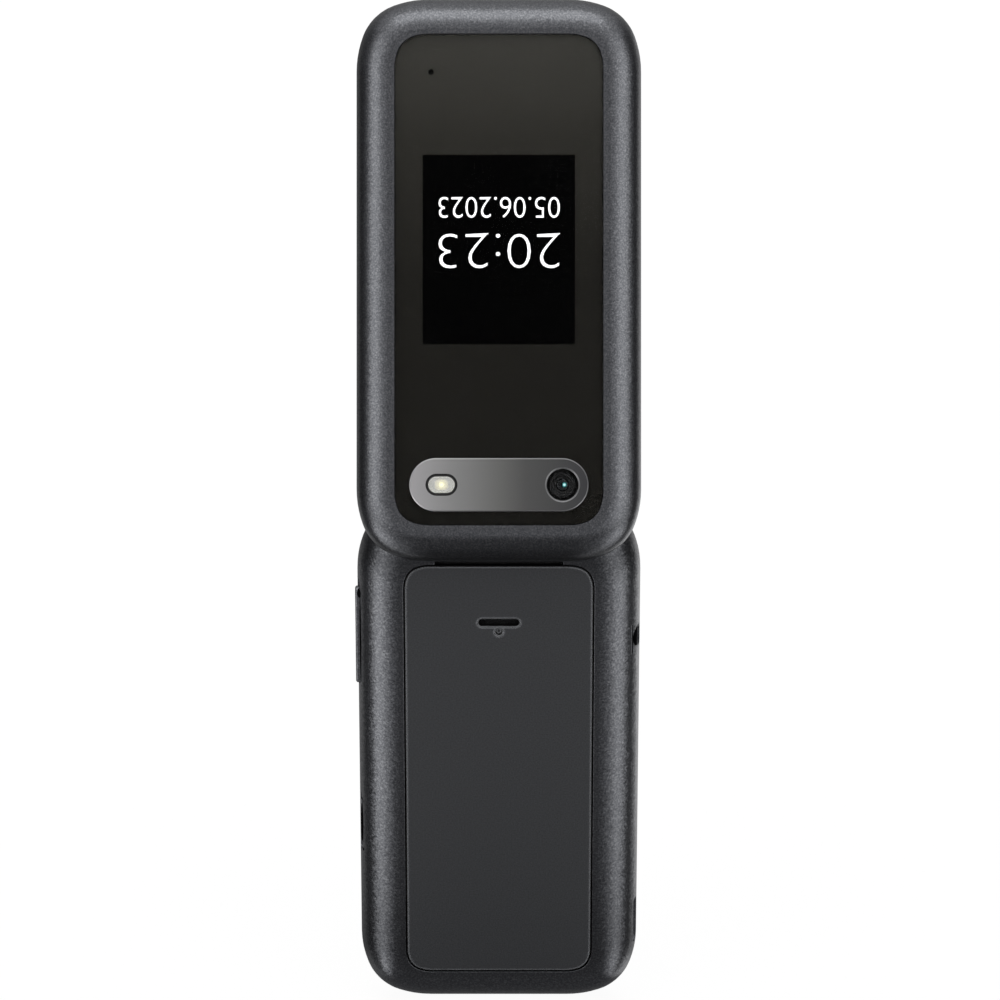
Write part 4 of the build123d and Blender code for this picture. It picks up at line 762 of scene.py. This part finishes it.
finish_with(screen, "inner_display")
screen_face, film_depth = 6.498, 0.004  # just off the panel's front
hour = flat_text("inner_clock_figures", "20:23", sideways, lid_up, lid_point(11.5, 66.5, screen_face),
                 23.0, 7.4, film_depth, lit, thinner=0.02)
day = flat_text("inner_date_figures", "05.06.2023", sideways, lid_up, lid_point(8.5, 61.3, screen_face),
                17.0, 2.6, film_depth, lit)
meters = [bar(-19.6 + 1.1 * step, 0.25 * step, 0.35, 0.45 + 0.25 * step) for step in range(5)]
meters += [bar(17.2, 0.9, 2.0, 0.12), bar(17.2, -0.6, 2.0, 0.12), bar(15.3, 0.15, 0.12, 0.63),
           bar(19.1, 0.15, 0.12, 0.63), bar(16.6, 0.15, 0.95, 0.42), bar(19.5, 0.15, 0.2, 0.3)]
status = flat_shape("inner_status_marks", meters, sideways, lid_up, lid_point(0, 80.6, screen_face),
                    film_depth, lit)
dots = [bar(-18.6 + 1.3 * i, 1.3 * j, 0.42, 0.42) for i in range(3) for j in range(3)]
dots.append(bar(17.6, 1.3, 1.6, 0.25))
menu = flat_shape("inner_soft_marks", dots, sideways, lid_up, lid_point(0, 28.6, screen_face),
                  film_depth, lit)
for figures in (hour, day, status, menu):
    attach(figures, "lid")

# ======== Loudspeaker and earpiece meshes
# Plain-weave wire cloth, dyed black, laid over and under at each crossing. One lies under the slot in the
# battery cover and one in the earpiece's slot. Real wire is finer and is drawn coarser so that it shows.
wire = mottled("blackened_steel_wire", "#1d1d1f", 0.4, 0.8, (0.15, "#161617", "#2a2a2c"))


def sized_tree(name, lengths, counts=()):
    """Starts a geometry tree with named inputs for its lengths, its counts and its material."""
    tree = bpy.data.node_groups.new(name, "GeometryNodeTree")
    for kind, names in (("Float", lengths), ("Int", counts), ("Material", ("Material",))):
        for socket in names:
            tree.interface.new_socket(socket, in_out="INPUT", socket_type="NodeSocket" + kind)
    tree.interface.new_socket("Geometry", in_out="OUTPUT", socket_type="NodeSocketGeometry")
    return tree, add_node(tree, "NodeGroupInput").outputs


def end_tree(tree, sizes, shape):
    """Ends a geometry tree: real copies in place of instances, its material, and its output."""
    real = add_node(tree, "GeometryNodeRealizeInstances", inputs={"Geometry": shape})
    coloured = add_node(tree, "GeometryNodeSetMaterial", inputs={
        "Geometry": real, "Material": sizes["Material"]})
    add_node(tree, "NodeGroupOutput", inputs={"Geometry": coloured})


weave, sizes = sized_tree("wire_cloth", ("Width", "Height", "Pitch", "Wire"))
cloth = add_node(weave, "GeometryNodeJoinGeometry")
half_wire = add_node(weave, "ShaderNodeMath", times, [sizes["Wire"], 0.5])
# The warp runs across and the weft along, each over the other where it goes under.
for run_along, step_along, run, step, over in (
    ("X", "Y", "Width", "Height", 1), ("Y", "X", "Height", "Width", -1),
):
    reach = add_node(weave, "ShaderNodeMath", times, [sizes[run], 0.5])
    back = add_node(weave, "ShaderNodeMath", times, [sizes[run], -0.5])
    samples = add_node(weave, "ShaderNodeMath", {"operation": "DIVIDE"}, [
        sizes[run], add_node(weave, "ShaderNodeMath", times, [sizes["Pitch"], 0.25])])
    thread = add_node(weave, "GeometryNodeCurvePrimitiveLine", inputs={
        "Start": add_node(weave, "ShaderNodeCombineXYZ", inputs={run_along: back}),
        "End": add_node(weave, "ShaderNodeCombineXYZ", inputs={run_along: reach})})
    fine = add_node(weave, "GeometryNodeResampleCurve", inputs={"Curve": thread, "Count": samples})
    pairs = add_node(weave, "ShaderNodeMath", {"operation": "DIVIDE"}, [
        sizes[step], add_node(weave, "ShaderNodeMath", times, [sizes["Pitch"], 2.0])])
    whole = add_node(weave, "ShaderNodeMath", {"operation": "FLOOR"}, [pairs])
    first = add_node(weave, "ShaderNodeMath", times, [whole, sizes["Pitch"]])
    first_back = add_node(weave, "ShaderNodeMath", times, [first, -1.0])
    count = add_node(weave, "ShaderNodeMath", {"operation": "MULTIPLY_ADD"}, [whole, 2.0, 1.0])
    start = add_node(weave, "ShaderNodeCombineXYZ", inputs={step_along: first_back})
    places = add_node(weave, "GeometryNodeMeshLine", inputs={
        "Count": count, "Start Location": start,
        "Offset": add_node(weave, "ShaderNodeCombineXYZ", inputs={step_along: sizes["Pitch"]})})
    laid = add_node(weave, "GeometryNodeInstanceOnPoints", inputs={"Points": places, "Instance": fine})
    threads = add_node(weave, "GeometryNodeRealizeInstances", inputs={"Geometry": laid})
    where = add_node(weave, "ShaderNodeSeparateXYZ", inputs=[add_node(weave, "GeometryNodeInputPosition")])
    both = add_node(weave, "ShaderNodeMath", {"operation": "ADD"}, [where.outputs["X"], where.outputs["Y"]])
    turns = add_node(weave, "ShaderNodeMath", {"operation": "DIVIDE"}, [both, sizes["Pitch"]])
    angle = add_node(weave, "ShaderNodeMath", times, [turns, pi])
    wave = add_node(weave, "ShaderNodeMath", {"operation": "COSINE"}, [angle])
    rise = add_node(weave, "ShaderNodeMath", times, [wave, half_wire])
    signed = add_node(weave, "ShaderNodeMath", times, [rise, over])
    bent = add_node(weave, "GeometryNodeSetPosition", inputs={
        "Geometry": threads, "Offset": add_node(weave, "ShaderNodeCombineXYZ", inputs={"Z": signed})})
    section = add_node(weave, "GeometryNodeCurvePrimitiveCircle", inputs={
        "Resolution": 5, "Radius": half_wire})
    drawn = add_node(weave, "GeometryNodeCurveToMesh", inputs={
        "Curve": bent, "Profile Curve": section, "Fill Caps": True})
    weave.links.new(drawn.outputs[0], cloth.inputs[0])
end_tree(weave, sizes, cloth)


def from_nodes(name, tree, right, up, middle, **values):
    """Runs a geometry tree, keeps its result as a plain mesh and puts it in its place."""
    carrier = linked(name, bpy.data.meshes.new(name))
    run = carrier.modifiers.new("made", "NODES")
    run.node_group = tree
    for socket in tree.interface.items_tree:
        if socket.in_out == "INPUT":
            run[socket.identifier] = values[socket.name]
    mesh = bpy.data.meshes.new_from_object(carrier.evaluated_get(bpy.context.evaluated_depsgraph_get()))
    bpy.data.objects.remove(carrier)
    turn = Matrix((right, up, right.cross(up))).transposed().to_4x4()
    mesh.transform(Matrix.Translation(middle) @ turn)
    mesh.name = name
    return linked(name, mesh)


speaker_s = 16.6
speaker_cloth = from_nodes("speaker_cloth", weave, across, upwards, base_point(0, speaker_s, 4.0), **{
    "Width": 9.6 * mm, "Height": 3.2 * mm, "Pitch": 0.34 * mm, "Wire": 0.13 * mm, "Material": wire})
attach(speaker_cloth, "cover")
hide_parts("speaker_mesh")
earpiece_cloth = from_nodes("earpiece_cloth", weave, sideways, lid_up, lid_point(0, 97, 6.3), **{
    "Width": 8.8 * mm, "Height": 1.2 * mm, "Pitch": 0.26 * mm, "Wire": 0.1 * mm, "Material": wire})
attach(earpiece_cloth, "lid")
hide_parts("earpiece_mesh")

# ======== Housing screws
# Four thread-forming steel screws with six-lobed recesses, nickel plated. They pass through the back under
# the battery cover and bite into the front housing. The lid's screws have the same plating.
nickel = mottled("nickel_plated_steel", "#b9b6ae", 0.25, 1.0, (0.5, "#aaa79f", "#c6c3bb"), (0.15, 0.003))
screw, sizes = sized_tree("lobed_screws", (
    "Spread Across", "Spread Along", "Head Radius", "Head Height", "Shank Radius", "Shank Length",
    "Recess Radius"))
places = add_node(screw, "GeometryNodeMeshGrid", inputs={
    "Size X": sizes["Spread Across"], "Size Y": sizes["Spread Along"], "Vertices X": 2, "Vertices Y": 2})
half_head = add_node(screw, "ShaderNodeMath", times, [sizes["Head Height"], 0.5])
head = add_node(screw, "GeometryNodeTransform", inputs={
    "Geometry": add_node(screw, "GeometryNodeMeshCylinder", inputs={
        "Vertices": 32, "Radius": sizes["Head Radius"], "Depth": sizes["Head Height"]}),
    "Translation": add_node(screw, "ShaderNodeCombineXYZ", inputs={"Z": half_head})})
lobe_depth = 0.68
inner_lobe = add_node(screw, "ShaderNodeMath", times, [sizes["Recess Radius"], lobe_depth])
lobes = add_node(screw, "GeometryNodeCurveStar", inputs={
    "Points": 6, "Inner Radius": inner_lobe, "Outer Radius": sizes["Recess Radius"]})
above = add_node(screw, "ShaderNodeMath", times, [sizes["Head Height"], 2.0])
bit = add_node(screw, "GeometryNodeCurveToMesh", inputs={
    "Curve": add_node(screw, "GeometryNodeCurvePrimitiveLine", inputs={
        "Start": add_node(screw, "ShaderNodeCombineXYZ", inputs={"Z": half_head}),
        "End": add_node(screw, "ShaderNodeCombineXYZ", inputs={"Z": above})}),
    "Profile Curve": lobes, "Fill Caps": True})
recessed = add_node(screw, "GeometryNodeMeshBoolean", {"operation": "DIFFERENCE"}, {
    "Mesh 1": head, "Mesh 2": bit})
half_shank = add_node(screw, "ShaderNodeMath", times, [sizes["Shank Length"], -0.5])
shank = add_node(screw, "GeometryNodeTransform", inputs={
    "Geometry": add_node(screw, "GeometryNodeMeshCylinder", inputs={
        "Vertices": 20, "Radius": sizes["Shank Radius"], "Depth": sizes["Shank Length"]}),
    "Translation": add_node(screw, "ShaderNodeCombineXYZ", inputs={"Z": half_shank})})
whole_screw = add_node(screw, "GeometryNodeJoinGeometry")
screw.links.new(recessed.outputs[0], whole_screw.inputs[0])
screw.links.new(shank.outputs[0], whole_screw.inputs[0])
four = add_node(screw, "GeometryNodeInstanceOnPoints", inputs={"Points": places, "Instance": whole_screw})
end_tree(screw, sizes, four)
top_screws, bottom_screws, spread = 6.9, 91.55, 29.2
screws_middle = base_point(0, (top_screws + bottom_screws) / 2, 0.55)
housing_screws = from_nodes("lobed_housing_screws", screw, across, upwards, screws_middle, **{
    "Spread Across": spread * mm, "Spread Along": (bottom_screws - top_screws) * mm, "Head Radius": 1.3 * mm,
    "Head Height": 0.8 * mm, "Shank Radius": 0.68 * mm, "Shank Length": 3.88 * mm, "Recess Radius": 0.72 * mm,
    "Material": nickel})
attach(housing_screws, "base")
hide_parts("housing_screws")
finish_with(nickel, "lid_screws")

# ======== Battery, its contacts and the card holder
# A lithium pack in matt grey foil with a plain pale label, moulded end caps, gold-plated sprung contacts, and
# a folded steel holder with six gold contact pads in each card place.
foil = mottled(
    "matt_grey_foil_wrap", "#3d4046", 0.42, 0.3, (1.2, "#383b41", "#44474d"), (0.5, 0.01, (1, 1, 0.08)))
finish_with(foil, "battery")
label_film = mottled("plain_label_film", "#b8babd", 0.5, 0.0, (2.0, "#b2b4b7", "#c0c2c5"), (0.4, 0.006))
end_plastic = mottled("moulded_black_nylon", "#141415", 0.5, 0.0, (0.4, "#101011", "#19191a"), (0.3, 0.015))
finish_with(end_plastic, "battery_contacts", "loudspeaker", "audio_jack", "earpiece")
battery_face, foil_depth, corner_radius = base_point(0, 63.1, 4.0), 0.03, 1.5
label = flat_shape("battery_label", [[
    (x + corner_radius * cos(radians(t)), y + corner_radius * sin(radians(t))) for x, y, begin in (
        (13.0, 18.0, 0), (-13.0, 18.0, 90), (-13.0, -19.5, 180), (13.0, -19.5, 270))
    for t in range(begin, begin + 91, 15)]], across, upwards, battery_face, foil_depth, label_film)
caps = flat_shape("battery_end_cap", [bar(0, 23.6, 16.5, 1.5)], across, upwards, battery_face, foil_depth,
                  end_plastic)
for part in (label, caps):
    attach(part, "base")
gold = mottled("hard_gold_plating", "#d9ad55", 0.26, 1.0, (0.3, "#c99c46", "#e4bb66"), (0.2, 0.003))
finish_with(gold, "antenna")
pad_lengths = ("Spread Across", "Spread Along", "Pad Width", "Pad Length", "Thickness")
pads, sizes = sized_tree("contact_pads", pad_lengths, ("Columns", "Rows"))
places = add_node(pads, "GeometryNodeMeshGrid", inputs={
    "Size X": sizes["Spread Across"], "Size Y": sizes["Spread Along"],
    "Vertices X": sizes["Columns"], "Vertices Y": sizes["Rows"]})
pad = add_node(pads, "GeometryNodeMeshCube", inputs={
    "Size": add_node(pads, "ShaderNodeCombineXYZ", inputs={
        "X": sizes["Pad Width"], "Y": sizes["Pad Length"], "Z": sizes["Thickness"]})})
rows = add_node(pads, "GeometryNodeInstanceOnPoints", inputs={"Points": places, "Instance": pad})
end_tree(pads, sizes, rows)
for name, middle, columns, lines, *values in (
    ("left_card_contacts", base_point(6.5, 30.1, 0.22), 3, 2, 5.0, 2.8, 1.3, 1.5, 0.06),
    ("right_card_contacts", base_point(-6.5, 30.1, 0.22), 3, 2, 5.0, 2.8, 1.3, 1.5, 0.06),
    ("battery_contact_blades", base_point(0, 36.4, 2.43), 3, 1, 8.0, 0.0, 1.2, 1.4, 0.06),
    ("battery_pads", base_point(0, 38.8, 4.03), 3, 1, 8.0, 0.0, 1.8, 1.2, 0.02),
):
    sized = {length: value * mm for length, value in zip(pad_lengths, values)}
    part = from_nodes(
        name, pads, across, upwards, middle, **sized, Columns=columns, Rows=lines, Material=gold)
    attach(part, "base")

# ======== Loudspeaker's cone
# An oval paper cone with a rolled surround, matt black, glued into the loudspeaker's frame. It faces the
# cloth behind the battery cover's slot.
cone_paper = mottled("black_cone_paper", "#1b1b1c", 0.7, 0.0, (0.4, "#171718", "#222223"), (0.3, 0.02))


def rear_oval(s, b, half_long, half_wide, count=48):
    """An oval square to the base's back."""
    angles = [2 * pi * i / count for i in range(count)]
    return [base_point(half_long * cos(angle), s + half_wide * sin(angle), b) for angle in angles]


cone = turned("speaker_cone", [rear_oval(speaker_s, b, 7.9 - inset, 3.9 - inset) for inset, b in (
    (0, 3.37), (0, 3.42), (0.35, 3.62), (0.8, 3.62), (1.1, 3.44), (2.2, 3.41), (2.3, 3.5), (3.2, 3.6),
    (3.7, 3.62))], cone_paper)
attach(cone, "base")

# ======== Hidden metal parts
# Deep-drawn and stamped steel: the hinge's cartridge, cam and sleeve, the key domes, the radio shield, the
# card holder, the charging port's shell and the motor. They keep a fine rolled grain along their length.
rolled_steel = mottled(
    "cold_rolled_stainless_steel", "#a8a8a6", 0.3, 1.0, (0.6, "#9b9b99", "#b4b4b2"),
    (0.2, 0.006, (1, 1, 0.05)))
finish_with(rolled_steel, "dome_sheet", "hinge_cartridge", "hinge_cam", "hinge_sleeve", "rf_shield",
            "vibration_motor", "vibration_weight", "sim_holder", "usb_port", "microphone")
magnet_nickel = mottled("nickel_plated_magnet", "#8f8e8a", 0.2, 1.0, (0.4, "#868581", "#999894"))
finish_with(magnet_nickel, "lid_magnet")

# ======== Boards, flex, keymat and pads
# Glass-epoxy boards under green solder mask with copper runs, an amber polyimide flex, a translucent silicone
# keymat and soft black pads that the lid closes on.
mask, tree, shader, place = surface("green_solder_mask", "#0f3a26", 0.35)
tracks = add_node(tree, "ShaderNodeTexBrick", {"offset": 0.5}, {
    "Vector": place, "Scale": 1 / (5 * mm), "Mortar Size": 0.03, "Color1": linear("#0f3a26"),
    "Color2": linear("#0d3422"), "Mortar": linear("#2d6b45")})
tree.links.new(tracks.outputs["Color"], shader.inputs["Base Color"])
finish_with(mask, "main_board", "lid_board")
film, tree, shader, place = surface("amber_polyimide_flex", "#8a4a12", 0.3)
copper_lines = add_node(tree, "ShaderNodeTexWave", {"bands_direction": "X"}, {
    "Vector": place, "Scale": 1 / (2.4 * mm), "Distortion": 0.0})
tree.links.new(add_node(tree, "ShaderNodeValToRGB", {"stops": ((0.4, "#8a4a12"), (0.6, "#b26a24"))}, [
    copper_lines.outputs["Fac"]]).outputs["Color"], shader.inputs["Base Color"])
finish_with(film, "hinge_flex")
silicone = mottled(
    "translucent_silicone", "#b9bcc0", 0.5, 0.0, (1.0, "#b2b5b9", "#c1c4c8"), **{"Subsurface Weight": 0.15})
finish_with(silicone, "keypad_membrane")
rubber = mottled("soft_black_rubber", "#171718", 0.8, 0.0, (0.3, "#141415", "#1d1d1e"), (0.3, 0.02))
finish_with(rubber, "lid_bumpers")
